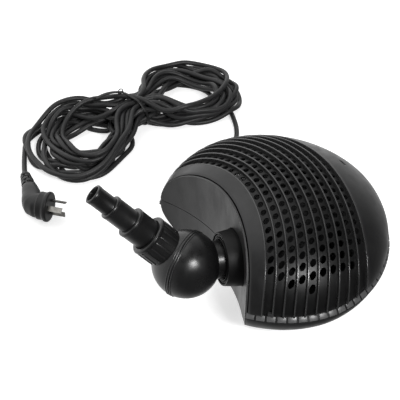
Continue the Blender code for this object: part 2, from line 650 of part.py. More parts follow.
gland_end = GLAND_AT + Vector((0, GLAND_LENGTH + GAP, 0))
lead("lead_to_hank", [
    gland_end, (0.0470, 0.1640, 0.0195), (0.0545, 0.1780, 0.0125), (0.0665, 0.1905, 0.0060),
    (0.0780, 0.2035, FLOOR_LEAD), (0.0875, 0.2210, FLOOR_LEAD), (0.0940, 0.2400, FLOOR_LEAD), HANK_IN], 22)

relief_dir = (RELIEF_END - PLUG_NECK).normalized()
lead("lead_to_plug", [
    HANK_OUT, (-0.1772, 0.2900, FLOOR_LEAD), (-0.1825, 0.2755, FLOOR_LEAD), RELIEF_END + relief_dir * GAP], 8)

motor_gland_end = motor_axis.matrix_world @ Vector((gland_x, 0, MOTOR_END + 0.009 + GAP))
lead("inner_lead", [
    motor_gland_end, motor_gland_end + side_dir * 0.012, (0.066, 0.062, 0.034), (0.052, 0.084, 0.026),
    GLAND_AT + Vector((0, -0.018, 0)), GLAND_AT + Vector((0, -GLAND_INSIDE - GAP, 0))], 24)

relief_axis = axes("relief_axis", PLUG_NECK, relief_dir, Z)
relief_length = (RELIEF_END - PLUG_NECK).length
turned("plug_relief", [
    (0.0042, relief_length), (0.0052, relief_length * 0.55), (0.0068, 0.010), (0.0068, RELIEF_START),
    (lead_hole, RELIEF_START), (lead_hole, relief_length)], RUBBER, relief_axis, steps=20)

pin_dir = Vector((math.cos(PLUG_TURN), math.sin(PLUG_TURN), 0))
plug_axis = axes("plug_axis", PLUG_FACE, pin_dir, Z)
plug = rod("plug_body", PLUG_HEAD_RADIUS * 0.93, -PLUG_HEAD_DEPTH, 0, RUBBER, plug_axis,
           end_radius=PLUG_HEAD_RADIUS, sides=32)
head_at = PLUG_FACE - pin_dir * (PLUG_HEAD_DEPTH * 0.75)
grip_axis = axes("grip_axis", PLUG_NECK, (head_at - PLUG_NECK), Z)
grip_length = (head_at - PLUG_NECK).length
grip = rod("plug_grip", 0.0088, 0, grip_length, parent=grip_axis, end_radius=0.0150, sides=16)
join(plug, grip)
cut(plug, block("floor_cut", (-0.3, 0, -0.1), (0, 0.4, GAP)))
pin_half_thick, pin_half_width, pin_length = BLADE
for word, x, y, turn in (("live", 0.0042, 0.0070, 30), ("neutral", 0.0042, -0.0070, -30),
                         ("earth", -0.0080, 0, 90)):
    pin = block("plug_pin_" + word, (-pin_half_width, -pin_half_thick, GAP),
                (pin_half_width, pin_half_thick, pin_length), BRASS, plug_axis)
    pin.location = (x, y, 0)
    pin.rotation_euler.z = math.radians(90 + turn)

for obj in parts.objects:
    if obj.type == "MESH":
        obj.data.shade_smooth()
        obj.data.set_sharp_from_angle(angle=math.radians(35))
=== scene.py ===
import math

import bmesh
import bpy
import numpy as np
from mathutils import Matrix, Vector


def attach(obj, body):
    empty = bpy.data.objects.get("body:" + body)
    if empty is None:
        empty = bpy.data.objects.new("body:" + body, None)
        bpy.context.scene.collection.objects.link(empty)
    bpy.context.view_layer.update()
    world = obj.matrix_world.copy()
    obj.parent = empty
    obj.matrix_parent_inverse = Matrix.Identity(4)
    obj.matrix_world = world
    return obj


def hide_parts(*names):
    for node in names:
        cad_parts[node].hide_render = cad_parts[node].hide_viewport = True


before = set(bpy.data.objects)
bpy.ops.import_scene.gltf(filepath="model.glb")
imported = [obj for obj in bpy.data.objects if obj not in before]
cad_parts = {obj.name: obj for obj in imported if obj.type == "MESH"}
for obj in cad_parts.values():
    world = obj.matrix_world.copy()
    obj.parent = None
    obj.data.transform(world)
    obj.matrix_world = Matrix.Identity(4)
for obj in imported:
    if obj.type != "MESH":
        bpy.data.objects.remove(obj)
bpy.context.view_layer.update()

print("frame loaded:", len(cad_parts), "nodes")

# camera: high on the outlet side, with a long lens
viewpoint = {
    "location": (-0.3978, -0.5949, 0.7273),
    "target": (-0.0447, 0.0718, 0.0500),
    "lens": 82.34,
    "sensor": 36.0,
}
cameraData = bpy.data.cameras.new("camera")
cameraData.lens = viewpoint["lens"]
cameraData.sensor_width = viewpoint["sensor"]
camera = bpy.data.objects.new("camera", cameraData)
camera.location = viewpoint["location"]
toTarget = Vector(viewpoint["target"]) - Vector(viewpoint["location"])
camera.rotation_euler = toTarget.to_track_quat("-Z", "Y").to_euler()
bpy.context.scene.collection.objects.link(camera)
bpy.context.scene.camera = camera


# materials
def addNode(mat, kind, settings=None, **values):
    # mat is a material or the world; a value may be a number or another node's socket
    made = mat.node_tree.nodes.new(kind)
    for key, value in (settings or {}).items():
        setattr(made, key, value)
    for key, value in values.items():
        name = key.replace("_", " ")
        place = made.inputs[int(name[1:])] if name[1:].isdigit() else made.inputs[name]
        if isinstance(value, bpy.types.NodeSocket):
            mat.node_tree.links.new(value, place)
        else:
            place.default_value = value
    return made


def startMaterial(name, metallic=0.0, specular=0.5, coat=0.0, coatRoughness=0.1):
    mat = bpy.data.materials.new(name)
    mat.use_nodes = True
    shader = mat.node_tree.nodes["Principled BSDF"]
    shader.inputs["Metallic"].default_value = metallic
    shader.inputs["Specular IOR Level"].default_value = specular
    shader.inputs["Coat Weight"].default_value = coat
    shader.inputs["Coat Roughness"].default_value = coatRoughness
    return mat, shader


def plugIn(mat, shader, name, socket):
    mat.node_tree.links.new(socket, shader.inputs[name])


def scaledNoise(mat, scale, detail=3.0, stretch=None, rough=0.5):
    coords = addNode(mat, "ShaderNodeTexCoord").outputs["Object"]
    if stretch:
        coords = addNode(mat, "ShaderNodeMapping", Vector=coords, Scale=stretch).outputs["Vector"]
    return addNode(mat, "ShaderNodeTexNoise", Vector=coords, Scale=scale, Detail=detail,
                   Roughness=rough).outputs["Fac"]


def spread(mat, factor, low, high, fromLow=0.35, fromHigh=0.65):
    made = addNode(mat, "ShaderNodeMapRange", Value=factor)
    for name, value in (("From Min", fromLow), ("From Max", fromHigh), ("To Min", low), ("To Max", high)):
        made.inputs[name].default_value = value
    return made.outputs["Result"]


def blendColours(mat, factor, dark, light):
    ramp = addNode(mat, "ShaderNodeValToRGB", Fac=factor)
    for stop, place, colour in zip(ramp.color_ramp.elements, (0.32, 0.70), (dark, light)):
        stop.position = place
        stop.color = (*colour, 1)
    return ramp.outputs["Color"]


def mouldedPlastic(name, dark, light, roughness, grain=900, bump=0.05, specular=0.45, wearAndHighlight=0.5):
    mat, shader = startMaterial(name, specular=specular)
    cloud = scaledNoise(mat, 38, 5, rough=0.62)
    fine = scaledNoise(mat, grain, 3)
    colour = blendColours(mat, cloud, dark, light)
    # convex edges turn lighter: partly real rubbed wear, partly a painted highlight on crests and rims
    edge = addNode(mat, "ShaderNodeNewGeometry").outputs["Pointiness"]
    rubbedAndHighlight = spread(mat, edge, 0, wearAndHighlight, 0.53, 0.62)
    wornAndHighlight = addNode(mat, "ShaderNodeMix", {"data_type": "RGBA"}, i0=rubbedAndHighlight, i6=colour,
                   i7=(*(3.2 * c + 0.01 for c in light), 1)).outputs[2]
    plugIn(mat, shader, "Base Color", wornAndHighlight)
    smear = scaledNoise(mat, 75, 4, stretch=(1, 1, 0.35), rough=0.6)
    plugIn(mat, shader, "Roughness", spread(mat, smear, roughness - 0.05, roughness + 0.07))
    relief = addNode(mat, "ShaderNodeBump", Height=fine, Strength=bump, Distance=0.0004)
    swell = addNode(mat, "ShaderNodeBump", Height=cloud, Strength=0.10, Distance=0.0006,
                    Normal=relief.outputs[0])
    plugIn(mat, shader, "Normal", swell.outputs[0])
    return mat


def brushedMetal(name, dark, light, roughness, grain=(1, 1, 30), scale=220):
    mat, shader = startMaterial(name, metallic=1.0)
    streak = scaledNoise(mat, scale, 4, stretch=grain)
    plugIn(mat, shader, "Base Color", blendColours(mat, scaledNoise(mat, 160, 3), dark, light))
    plugIn(mat, shader, "Roughness", spread(mat, streak, roughness - 0.08, roughness + 0.12))
    relief = addNode(mat, "ShaderNodeBump", Height=streak, Strength=0.12, Distance=0.0002)
    plugIn(mat, shader, "Normal", relief.outputs[0])
    return mat


def bandedMaterial(name, dark, light, roughness, metallic, direction, scale, bump, distortion=0.0):
    mat, shader = startMaterial(name, metallic=metallic)
    coords = addNode(mat, "ShaderNodeTexCoord").outputs["Object"]
    turned = addNode(mat, "ShaderNodeMapping", Vector=coords)
    turned.inputs["Rotation"].default_value = direction
    wave = addNode(mat, "ShaderNodeTexWave", Vector=turned.outputs[0], Scale=scale, Distortion=distortion)
    plugIn(mat, shader, "Base Color", blendColours(mat, wave.outputs["Fac"], dark, light))
    plugIn(mat, shader, "Roughness", spread(mat, scaledNoise(mat, 120), roughness - 0.06, roughness + 0.08))
    relief = addNode(mat, "ShaderNodeBump", Height=wave.outputs["Fac"], Strength=bump, Distance=0.0003)
    plugIn(mat, shader, "Normal", relief.outputs[0])
    return mat


cagePlastic = mouldedPlastic("cagePlastic", (0.0040, 0.0040, 0.0042), (0.0068, 0.0068, 0.0070), 0.34,
                             specular=0.42)
# a lighter copy of the cage plastic for the rib crests: painted highlight where the crests catch the light
ribPlastic = mouldedPlastic("ribPlastic", (0.011, 0.011, 0.0112), (0.018, 0.018, 0.0183), 0.26,
                            specular=0.7)
# a darker copy of the cage plastic for the groove floors: painted shade of the recesses
groovePlastic = mouldedPlastic("groovePlastic", (0.0022, 0.0022, 0.0023), (0.0040, 0.0040, 0.0041), 0.38,
                               specular=0.28)
cupPlastic = mouldedPlastic("cupPlastic", (0.0026, 0.0026, 0.0027), (0.0042, 0.0042, 0.0043), 0.52,
                            specular=0.22)
# a much lighter copy of the cage plastic for the rim panels: painted light where the rim ledge catches the
# light
panelPlastic = mouldedPlastic("panelPlastic", (0.030, 0.030, 0.0305), (0.042, 0.042, 0.0425), 0.36,
                              specular=0.6)
wallPlastic = mouldedPlastic("wallPlastic", (0.012, 0.012, 0.0122), (0.016, 0.016, 0.0162), 0.46,
                             grain=1400, bump=0.12, specular=0.42)
fittingPlastic = mouldedPlastic("fittingPlastic", (0.0036, 0.0036, 0.0038), (0.0060, 0.0060, 0.0062), 0.30,
                                specular=0.5)
motorPlastic = mouldedPlastic("motorPlastic", (0.0030, 0.0030, 0.0031), (0.0050, 0.0050, 0.0052), 0.62,
                              grain=1200, bump=0.15, specular=0.15)
leadRubber = mouldedPlastic("leadRubber", (0.0125, 0.0125, 0.0128), (0.0195, 0.0195, 0.0200), 0.46,
                            grain=1800, bump=0.22, specular=0.36, wearAndHighlight=0.15)
plugRubber = mouldedPlastic("plugRubber", (0.0055, 0.0055, 0.0057), (0.0090, 0.0090, 0.0092), 0.46,
                            grain=1500, bump=0.16, specular=0.4, wearAndHighlight=0.3)
sealRubber = mouldedPlastic("sealRubber", (0.008, 0.008, 0.008), (0.014, 0.014, 0.014), 0.66, grain=1000,
                            bump=0.2)
steelFinish = brushedMetal("steelFinish", (0.48, 0.48, 0.49), (0.66, 0.66, 0.67), 0.32)
pinFinish = brushedMetal("pinFinish", (0.20, 0.195, 0.18), (0.34, 0.33, 0.31), 0.30, grain=(8, 8, 1))
ironSheets = bandedMaterial("ironSheets", (0.10, 0.10, 0.105), (0.30, 0.30, 0.31), 0.42, 1.0,
                            (0, 0, math.radians(78.5)), 330, 0.5)
copperWire = bandedMaterial("copperWire", (0.30, 0.09, 0.035), (0.72, 0.30, 0.14), 0.34, 1.0,
                            (0, 0, math.radians(-11.5)), 260, 0.9, 0.4)
ceramicFinish = mouldedPlastic("ceramicFinish", (0.74, 0.73, 0.69), (0.84, 0.83, 0.80), 0.22, grain=600,
                               bump=0.03, wearAndHighlight=0.0)
ferriteFinish = mouldedPlastic("ferriteFinish", (0.040, 0.040, 0.043), (0.075, 0.075, 0.08), 0.46,
                               grain=700, bump=0.3)
print("materials ready")


# mesh helpers
def linkObject(name, data, *mats):
    made = bpy.data.objects.new(name, data)
    for mat in mats:
        data.materials.append(mat)
    bpy.context.scene.collection.objects.link(made)
    return made


def meshPiece(name, verts, faces, mat, smooth=45, weld=0.00002):
    mesh = bpy.data.meshes.new(name)
    mesh.from_pydata([tuple(map(float, v)) for v in verts], [], [tuple(map(int, f)) for f in faces])
    bm = bmesh.new()
    bm.from_mesh(mesh)
    if weld:
        bmesh.ops.remove_doubles(bm, verts=bm.verts, dist=weld)
    bmesh.ops.recalc_face_normals(bm, faces=bm.faces)
    bm.to_mesh(mesh)
    bm.free()
    softenShade(mesh, smooth)
    return linkObject(name, mesh, mat)


def softenShade(mesh, angle):
    mesh.shade_smooth()
    mesh.set_sharp_from_angle(angle=math.radians(angle))


def settle(obj, smooth=None):
    # the evaluated shape as a plain mesh at the origin, with its modifiers gone
    bpy.context.view_layer.update()
    graph = bpy.context.evaluated_depsgraph_get()
    mesh = bpy.data.meshes.new_from_object(obj.evaluated_get(graph))
    mesh.transform(obj.matrix_world)
    old = obj.data
    mats = [slot.material for slot in obj.material_slots]
    obj.modifiers.clear()
    if isinstance(old, bpy.types.Mesh):
        obj.data = mesh
        if old.users == 0:
            bpy.data.meshes.remove(old)
        made = obj
    else:
        name = obj.name
        bpy.data.objects.remove(obj)
        made = bpy.data.objects.new(name, mesh)
        bpy.context.scene.collection.objects.link(made)
    made.matrix_world = Matrix()
    if not mesh.materials:
        for mat in mats:
            mesh.materials.append(mat)
    if smooth:
        softenShade(mesh, smooth)
    return made


def finishPiece(piece, body, slot, *nodes):
    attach(piece, body)
    if nodes:
        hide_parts(*nodes)
    return piece


def basis(axis, hint):
    z = Vector(axis).normalized()
    x = (Vector(hint) - z * Vector(hint).dot(z)).normalized()
    return Matrix((x, z.cross(x), z)).transposed()


def turnedShape(name, profile, origin, axis, hint, mat, steps=96, closed=True, smooth=40):
    # profile holds (radius, height) points, turned about the axis through origin
    frameMatrix = np.array(basis(axis, hint))
    angles = np.linspace(0, math.tau, steps, endpoint=False)
    rows = []
    for r, z in profile:
        rows.append([(r * math.cos(a), r * math.sin(a), z) for a in angles] if r > 1e-6 else [(0, 0, z)])
    verts, starts = [], []
    for row in rows:
        starts.append(len(verts))
        verts += row
    faces = []
    count = len(rows)
    for k in range(count if closed else count - 1):
        m = (k + 1) % count
        a, b = starts[k], starts[m]
        for i in range(steps):
            j = (i + 1) % steps
            if len(rows[k]) == 1 and len(rows[m]) == 1:
                break
            if len(rows[k]) == 1:
                faces.append((a, b + j, b + i))
            elif len(rows[m]) == 1:
                faces.append((a + i, a + j, b))
            else:
                faces.append((a + i, a + j, b + j, b + i))
    placed = np.array(verts) @ frameMatrix.T + np.array(origin)
    return meshPiece(name, placed, faces, mat, smooth)


def roundedProfile(points, radius, steps=4):
    # a closed outline with its corners rounded off
    out = []
    count = len(points)
    for k, here in enumerate(points):
        here = np.array(here, float)
        before, after = np.array(points[k - 1], float), np.array(points[(k + 1) % count], float)
        toA, toB = before - here, after - here
        la, lb = np.linalg.norm(toA), np.linalg.norm(toB)
        cut = min(radius, la * 0.45, lb * 0.45)
        start, end = here + toA / la * cut, here + toB / lb * cut
        for t in np.linspace(0, 1, steps + 1):
            out.append(tuple((1 - t) ** 2 * start + 2 * t * (1 - t) * here + t * t * end))
    return out


def circleArc(radius, start, end, count, shift=0.0):
    angles = np.radians(np.linspace(start, end, count + 1))
    return [(radius * math.sin(a), radius * math.cos(a) + shift) for a in angles]


def cutAway(piece, *cutters):
    for cutter in cutters:
        step = piece.modifiers.new("cut", "BOOLEAN")
        step.operation = "DIFFERENCE"
        step.solver = "EXACT"
        step.object = cutter
    made = settle(piece)
    for cutter in cutters:
        bpy.data.objects.remove(cutter)
    return made


def thicken(piece, thick):
    # gives an open sheet its wall, on the inner side
    wall = piece.modifiers.new("wall", "SOLIDIFY")
    wall.thickness = thick
    wall.offset = -1
    return settle(piece, 45)


def boxShape(name, low, high, matrix=None):
    corners = [(x, y, z) for x in (low[0], high[0]) for y in (low[1], high[1]) for z in (low[2], high[2])]
    if matrix is not None:
        corners = [matrix @ Vector(c) for c in corners]
    faces = [(0, 1, 3, 2), (4, 6, 7, 5), (0, 4, 5, 1), (2, 3, 7, 6), (0, 2, 6, 4), (1, 5, 7, 3)]
    return meshPiece(name, corners, faces, None, 30, 0)


def placeMatrix(origin, axis, hint):
    made = basis(axis, hint).to_4x4()
    made.translation = Vector(origin)
    return made


# geometry nodes helpers
def startTree(name, inputs):
    tree = bpy.data.node_groups.new(name, "GeometryNodeTree")
    tree.interface.new_socket("Geometry", in_out="INPUT", socket_type="NodeSocketGeometry")
    for label, value in inputs.items():
        kind = {type(None): "NodeSocketMaterial", int: "NodeSocketInt"}.get(type(value), "NodeSocketFloat")
        socket = tree.interface.new_socket(label, in_out="INPUT", socket_type=kind)
        if value is not None:
            socket.default_value = value
    tree.interface.new_socket("Geometry", in_out="OUTPUT", socket_type="NodeSocketGeometry")
    return tree, tree.nodes.new("NodeGroupInput"), tree.nodes.new("NodeGroupOutput")


def treeNode(tree, kind, settings=None, **values):
    made = tree.nodes.new(kind)
    for key, value in (settings or {}).items():
        setattr(made, key, value)
    for key, value in values.items():
        place = made.inputs[key.replace("_", " ")]
        if isinstance(value, bpy.types.NodeSocket):
            tree.links.new(value, place)
        else:
            place.default_value = value
    return made


def endTree(tree, source, target, shape):
    solid = treeNode(tree, "GeometryNodeRealizeInstances", Geometry=shape.outputs[0])
    done = treeNode(tree, "GeometryNodeSetMaterial", Geometry=solid.outputs[0],
                    Material=source.outputs["Finish"])
    tree.links.new(done.outputs[0], target.inputs[0])
    return tree


def runTree(obj, tree, smooth=40, **sizes):
    # sizes go in by the name of the tree's input
    step = obj.modifiers.new(tree.name, "NODES")
    step.node_group = tree
    for item in tree.interface.items_tree:
        if item.in_out == "INPUT" and item.name.replace(" ", "_") in sizes:
            step[item.identifier] = sizes[item.name.replace(" ", "_")]
    return settle(obj, smooth)


def guideMesh(name, lines, outward, along=None):
    # points that carry their directions; without along they are joined up as lines
    mesh = bpy.data.meshes.new(name)
    verts, edges, number = [], [], 0
    for line in lines:
        verts += [tuple(map(float, p)) for p in line]
        edges += [(number + k, number + k + 1) for k in range(len(line) - 1)] if along is None else []
        number += len(line)
    mesh.from_pydata(verts, edges, [])
    for label, values in (("outward", outward), ("along", along)):
        if values is not None:
            layer = mesh.attributes.new(label, "FLOAT_VECTOR", "POINT")
            layer.data.foreach_set("vector", np.asarray(np.vstack(values), np.float32).ravel())
    return linkObject(name, mesh)


def sweptRibTree():
    # a rounded bar that follows the guide lines
    tree, source, target = startTree("sweptRib",
                                     {"Width": 0.0015, "Height": 0.003, "Round": 0.0004, "Finish": None})
    outward = treeNode(tree, "GeometryNodeInputNamedAttribute", {"data_type": "FLOAT_VECTOR"},
                       Name="outward")
    line = treeNode(tree, "GeometryNodeMeshToCurve", Mesh=source.outputs["Geometry"])
    aimed = treeNode(tree, "GeometryNodeSetCurveNormal", {"mode": "FREE"}, Curve=line.outputs[0],
                     Normal=outward.outputs["Attribute"])
    shape = treeNode(tree, "GeometryNodeCurvePrimitiveQuadrilateral", Width=source.outputs["Height"],
                     Height=source.outputs["Width"])
    rounded = treeNode(tree, "GeometryNodeFilletCurve", {"mode": "POLY"}, Curve=shape.outputs[0], Count=3,
                       Radius=source.outputs["Round"], Limit_Radius=True)
    swept = treeNode(tree, "GeometryNodeCurveToMesh", Curve=aimed.outputs[0],
                     Profile_Curve=rounded.outputs[0], Fill_Caps=True)
    return endTree(tree, source, target, swept)


def studTree():
    # a small block on every guide point
    tree, source, target = startTree("stud", {"Length": 0.008, "Width": 0.001, "Height": 0.001,
                                              "Finish": None})
    outward = treeNode(tree, "GeometryNodeInputNamedAttribute", {"data_type": "FLOAT_VECTOR"},
                       Name="outward")
    along = treeNode(tree, "GeometryNodeInputNamedAttribute", {"data_type": "FLOAT_VECTOR"}, Name="along")
    turn = treeNode(tree, "FunctionNodeAxesToRotation", {"primary_axis": "Z", "secondary_axis": "X"},
                    Primary_Axis=outward.outputs["Attribute"], Secondary_Axis=along.outputs["Attribute"])
    size = treeNode(tree, "ShaderNodeCombineXYZ", X=source.outputs["Length"], Y=source.outputs["Width"],
                    Z=source.outputs["Height"])
    block = treeNode(tree, "GeometryNodeMeshCube", Size=size.outputs[0])
    blocks = treeNode(tree, "GeometryNodeInstanceOnPoints", Points=source.outputs["Geometry"],
                       Instance=block.outputs["Mesh"], Rotation=turn.outputs[0])
    return endTree(tree, source, target, blocks)


sweptRib = sweptRibTree()
stud = studTree()


def roundEdges(piece, width, segments=2, angle=35):
    step = piece.modifiers.new("rounding", "BEVEL")
    step.width = width
    step.segments = segments
    step.limit_method = "ANGLE"
    step.angle_limit = math.radians(angle)
    return settle(piece, 40)


# mains lead: free ends as in the CAD, and a tied hank that settles under its weight
lead = {
    "length": 10.0,
    "radius": 0.0032,
    "step": 0.008,           # spacing of the points while it settles
    "fineStep": 0.004,
    "tightest": 0.025,       # bend radius that the turns keep
    "rounds": 520,
    "inner": 4,
    "stiffness": 0.45,
    "fall": 0.00006,
    "spread": 2.8,           # how far the turns start apart, times their settled height
    "gap": 0.0003,
    "exit": (0.0450, 0.1499, 0.0220),
}
leadToHank = [lead["exit"], (0.0470, 0.1640, 0.0195), (0.0545, 0.1780, 0.0125), (0.0665, 0.1905, 0.0060),
              (0.0780, 0.2035, 0.0035), (0.0875, 0.2210, 0.0035), (0.0940, 0.2400, 0.0035),
              (0.0985, 0.2580, 0.0035)]
leadToPlug = [(-0.1715, 0.3040, 0.0035), (-0.1772, 0.2900, 0.0035), (-0.1825, 0.2755, 0.0035),
              (-0.1875, 0.2600, 0.0040)]
hank = {
    "centre": (-0.0225, 0.294),
    "turn": math.radians(9.8),
    "halfLength": 0.155,
    "lobe": 0.115,
    "pinch": 0.652,
    "height": 0.040,
    "turns": 14,
    "waist": 0.0205,         # half width that the tie leaves
    "reach": (0.100, 0.152),
    "width": (0.028, 0.060),
    "sway": 0.026,
    "crossed": 0.24,         # share of the turns that cross over inside the tie
    "seed": 11,
}


def toHank(points):
    c, s = math.cos(hank["turn"]), math.sin(hank["turn"])
    x, y, z = np.asarray(points, float).T
    x, y = x - hank["centre"][0], y - hank["centre"][1]
    return np.stack([c * x + s * y, c * y - s * x, z], 1)


def fromHank(points):
    c, s = math.cos(hank["turn"]), math.sin(hank["turn"])
    x, y, z = np.asarray(points, float).T
    return np.stack([hank["centre"][0] + c * x - s * y, hank["centre"][1] + s * x + c * y, z], 1)


def smoothRoute(points, step):
    p = np.asarray(points, float)
    p = np.vstack([2 * p[0] - p[1], p, 2 * p[-1] - p[-2]])
    t = np.linspace(0, 1, 16, endpoint=False)[:, None]
    spans = [0.5 * (2 * b + (c - a) * t + (2 * a - 5 * b + 4 * c - d) * t ** 2
                    + (3 * b - a - 3 * c + d) * t ** 3)
             for a, b, c, d in zip(p, p[1:], p[2:], p[3:])]
    path = np.vstack(spans + [p[-2:-1]])
    along = np.append(0, np.cumsum(np.linalg.norm(np.diff(path, axis=0), axis=1)))
    at = np.linspace(0, along[-1], max(2, round(along[-1] / step)) + 1)
    return np.stack([np.interp(at, along, path[:, k]) for k in range(3)], 1)


def tiePlaces():
    # places of the runs in the tied waist, lowest first
    pitch = 2 * lead["radius"] * 1.04
    places, row, z = [], 0, lead["radius"]
    while len(places) < 2 * hank["turns"]:
        level = (z - lead["radius"]) / (hank["height"] / 2) - 1
        reach = hank["waist"] * math.sqrt(max(0.1, 1 - level * level))
        line = [(pitch * (k + 0.5 * (row % 2)), z) for k in range(-6, 6)]
        places += [place for place in line if abs(place[0]) <= reach]
        row += 1
        z += pitch * 0.87
    return places[:2 * hank["turns"]]


def lobeBend(side, start, end, reach, width, sway, z):
    points = []
    for angle in np.radians(np.linspace(-125, 125, 11)):
        fall = 1.25 if abs(angle) < math.pi / 2 else 1.5
        u = max(reach - width * (1 - math.cos(angle)) * fall, 0.03)
        points.append((side * u, sway * (0.4 + 0.6 * math.cos(angle)) + width * math.sin(angle), z))
    return points[::-1] if start[0] > end[0] else points


def hankTurns(random):
    places = tiePlaces()
    rise = hank["height"] / hank["turns"]
    points, here = [], (-0.03, 0)

    def shape():
        return (random.uniform(*hank["reach"]), random.uniform(*hank["width"]),
                random.uniform(-1, 1) * hank["sway"])

    for k in range(hank["turns"]):
        leftward, rightward = places[2 * k], places[2 * k + 1]
        if (leftward[0] > rightward[0]) != (random.random() < hank["crossed"]):
            leftward, rightward = rightward, leftward
        z = lead["radius"] + rise * k
        right = lobeBend(1, here, leftward, *shape(), z)
        points += (right if k else right[5:]) + [(0, *leftward)]
        if k < hank["turns"] - 1:
            points += lobeBend(-1, leftward, rightward, *shape(), z + rise / 2) + [(0, *rightward)]
            here = rightward
    points += [(-0.045, 0.030, 0.036), (-0.085, 0.050, 0.022), (-0.118, 0.050, 0.008)]
    return fromHank(points)


def closeRuns(middle, reach):
    # pairs of stretches that lie near each other and aren't neighbours along the lead
    first, second = [], []
    for start in range(0, len(middle), 256):
        near = ((middle[start:start + 256, None] - middle[None]) ** 2).sum(2) < reach * reach
        i, j = np.nonzero(near)
        keep = j > i + start + 2
        first.append(i[keep] + start)
        second.append(j[keep])
    return np.concatenate(first), np.concatenate(second)


def partRuns(p, i, j, least):
    # closest points of each pair of stretches, and the push that parts those nearer than least
    u, v, w = p[i + 1] - p[i], p[j + 1] - p[j], p[i] - p[j]
    uu, uv, vv, uw, vw = ((a * b).sum(1) for a, b in ((u, u), (u, v), (v, v), (u, w), (v, w)))
    s = np.clip((uv * vw - vv * uw) / np.maximum(uu * vv - uv * uv, 1e-14), 0, 1)
    t = np.clip((uv * s + vw) / vv, 0, 1)
    s = np.clip((uv * t - uw) / uu, 0, 1)
    apart = -w + v * t[:, None] - u * s[:, None]
    distance = np.maximum(np.linalg.norm(apart, axis=1), 1e-6)
    hit = distance < least
    push = apart[hit] * ((least - distance[hit]) / distance[hit] / 2)[:, None]
    move, count = np.zeros_like(p), np.zeros(len(p))
    i, j, s, t = i[hit], j[hit], s[hit], t[hit]
    for place, share, sign in ((i, 1 - s, -1), (i + 1, s, -1), (j, 1 - t, 1), (j + 1, t, 1)):
        for axis in range(3):
            move[:, axis] += np.bincount(place, sign * push[:, axis] * share, len(p))
        count += np.bincount(place, share, len(p))
    return move * (1.3 / np.maximum(count, 1))[:, None]


def keepLength(p, loose, rest):
    for odd in (0, 1):
        a, b = p[odd:-1:2], p[odd + 1::2]
        m = min(len(a), len(b))
        a, b = a[:m], b[:m]
        gap = b - a
        distance = np.linalg.norm(gap, axis=1)
        change = gap * ((distance - rest) / distance * 0.5)[:, None]
        a += change * loose[odd:-1:2][:m, None]
        b -= change * loose[odd + 1::2][:m, None]


def keepBends(p, loose, shortest):
    for span, least in shortest.items():
        gap = p[span:] - p[:-span]
        distance = np.maximum(np.linalg.norm(gap, axis=1), 1e-6)
        change = gap * (np.clip(least - distance, 0, None) / distance * 0.3)[:, None]
        p[span:] += change * loose[span:, None]
        p[:-span] -= change * loose[:-span, None]


def keepInside(p, loose, spreadNow):
    # the tie squeezes the waist; the outline, the floor and the height hold the rest
    r, height = lead["radius"], hank["height"] * spreadNow
    u, v, z = toHank(p).T
    middle = r + height / 2
    level = np.sqrt((v / hank["waist"]) ** 2 + ((z - middle) / (height / 2)) ** 2)
    squeeze = np.where((np.abs(u) < 0.012) & (level > 1), 1 / np.maximum(level, 1), 1)
    v, z = v * squeeze, middle + (z - middle) * squeeze
    s = np.sqrt(np.clip(1 - (u / hank["halfLength"]) ** 2, 0, 1))
    edge = np.maximum(hank["lobe"] * s * (1 - hank["pinch"] * s ** 4) - r, 0.004)
    far = hank["halfLength"] - r - 0.002
    inside = fromHank(np.stack([np.clip(u, -far, far), np.clip(v, -edge, edge),
                                np.clip(z, r, height + 0.0005)], 1))
    p[loose] += (inside - p)[loose] * 0.7
    p[:, 2] = np.where(loose, np.maximum(p[:, 2], r + 0.0001), p[:, 2])


def settleLead(p, loose):
    rest = lead["length"] / (len(p) - 1)
    tight = lead["tightest"]
    shortest = {k: 2 * tight * math.sin(k * rest / 2 / tight) for k in (2, 3, 4, 6)}
    thick = 2 * lead["radius"] + lead["gap"]
    spreadNow = lead["spread"]
    p[loose, 2] = lead["radius"] + (p[loose, 2] - lead["radius"]) * spreadNow
    pressing = 0.6 * lead["rounds"]
    for step in range(lead["rounds"]):
        if step < pressing:
            nextSpread = 1 + (lead["spread"] - 1) * (1 - (step + 1) / pressing)
            p[loose, 2] = lead["radius"] + (p[loose, 2] - lead["radius"]) * nextSpread / spreadNow
            spreadNow = nextSpread
        p[loose, 2] -= lead["fall"]
        straighter = np.zeros_like(p)
        straighter[2:-2] = (4 * (p[1:-3] + p[3:-1]) - (p[:-4] + p[4:])) / 6 - p[2:-2]
        p[loose] += lead["stiffness"] * straighter[loose]
        if step % 6 == 0:
            pairs = closeRuns((p[1:] + p[:-1]) / 2, 0.0185)
        for _ in range(lead["inner"]):
            keepBends(p, loose, shortest)
            keepLength(p, loose, rest)
            p[loose] += partRuns(p, *pairs, thick)[loose]
            keepInside(p, loose, spreadNow)
    return p


def leadPath():
    random = np.random.default_rng(hank["seed"])
    start, end = smoothRoute(leadToHank, lead["step"]), smoothRoute(leadToPlug, lead["step"])
    whole = smoothRoute(np.vstack([leadToHank, hankTurns(random), leadToPlug]), lead["step"])
    loose = np.ones(len(whole), bool)
    loose[:len(start)] = False
    loose[-len(end):] = False
    whole[:len(start)] = start
    whole[-len(end):] = end
    return smoothRoute(settleLead(whole, loose), lead["fineStep"])


def cordCurve(name, path, radius, mat, rings=4):
    curve = bpy.data.curves.new(name, "CURVE")
    curve.dimensions = "3D"
    curve.bevel_depth = radius
    curve.bevel_resolution = rings
    curve.use_fill_caps = True
    spline = curve.splines.new("POLY")
    spline.points.add(len(path) - 1)
    spline.points.foreach_set("co", np.column_stack([path, np.ones(len(path))]).ravel())
    spline.use_smooth = True
    return linkObject(name, curve, mat)


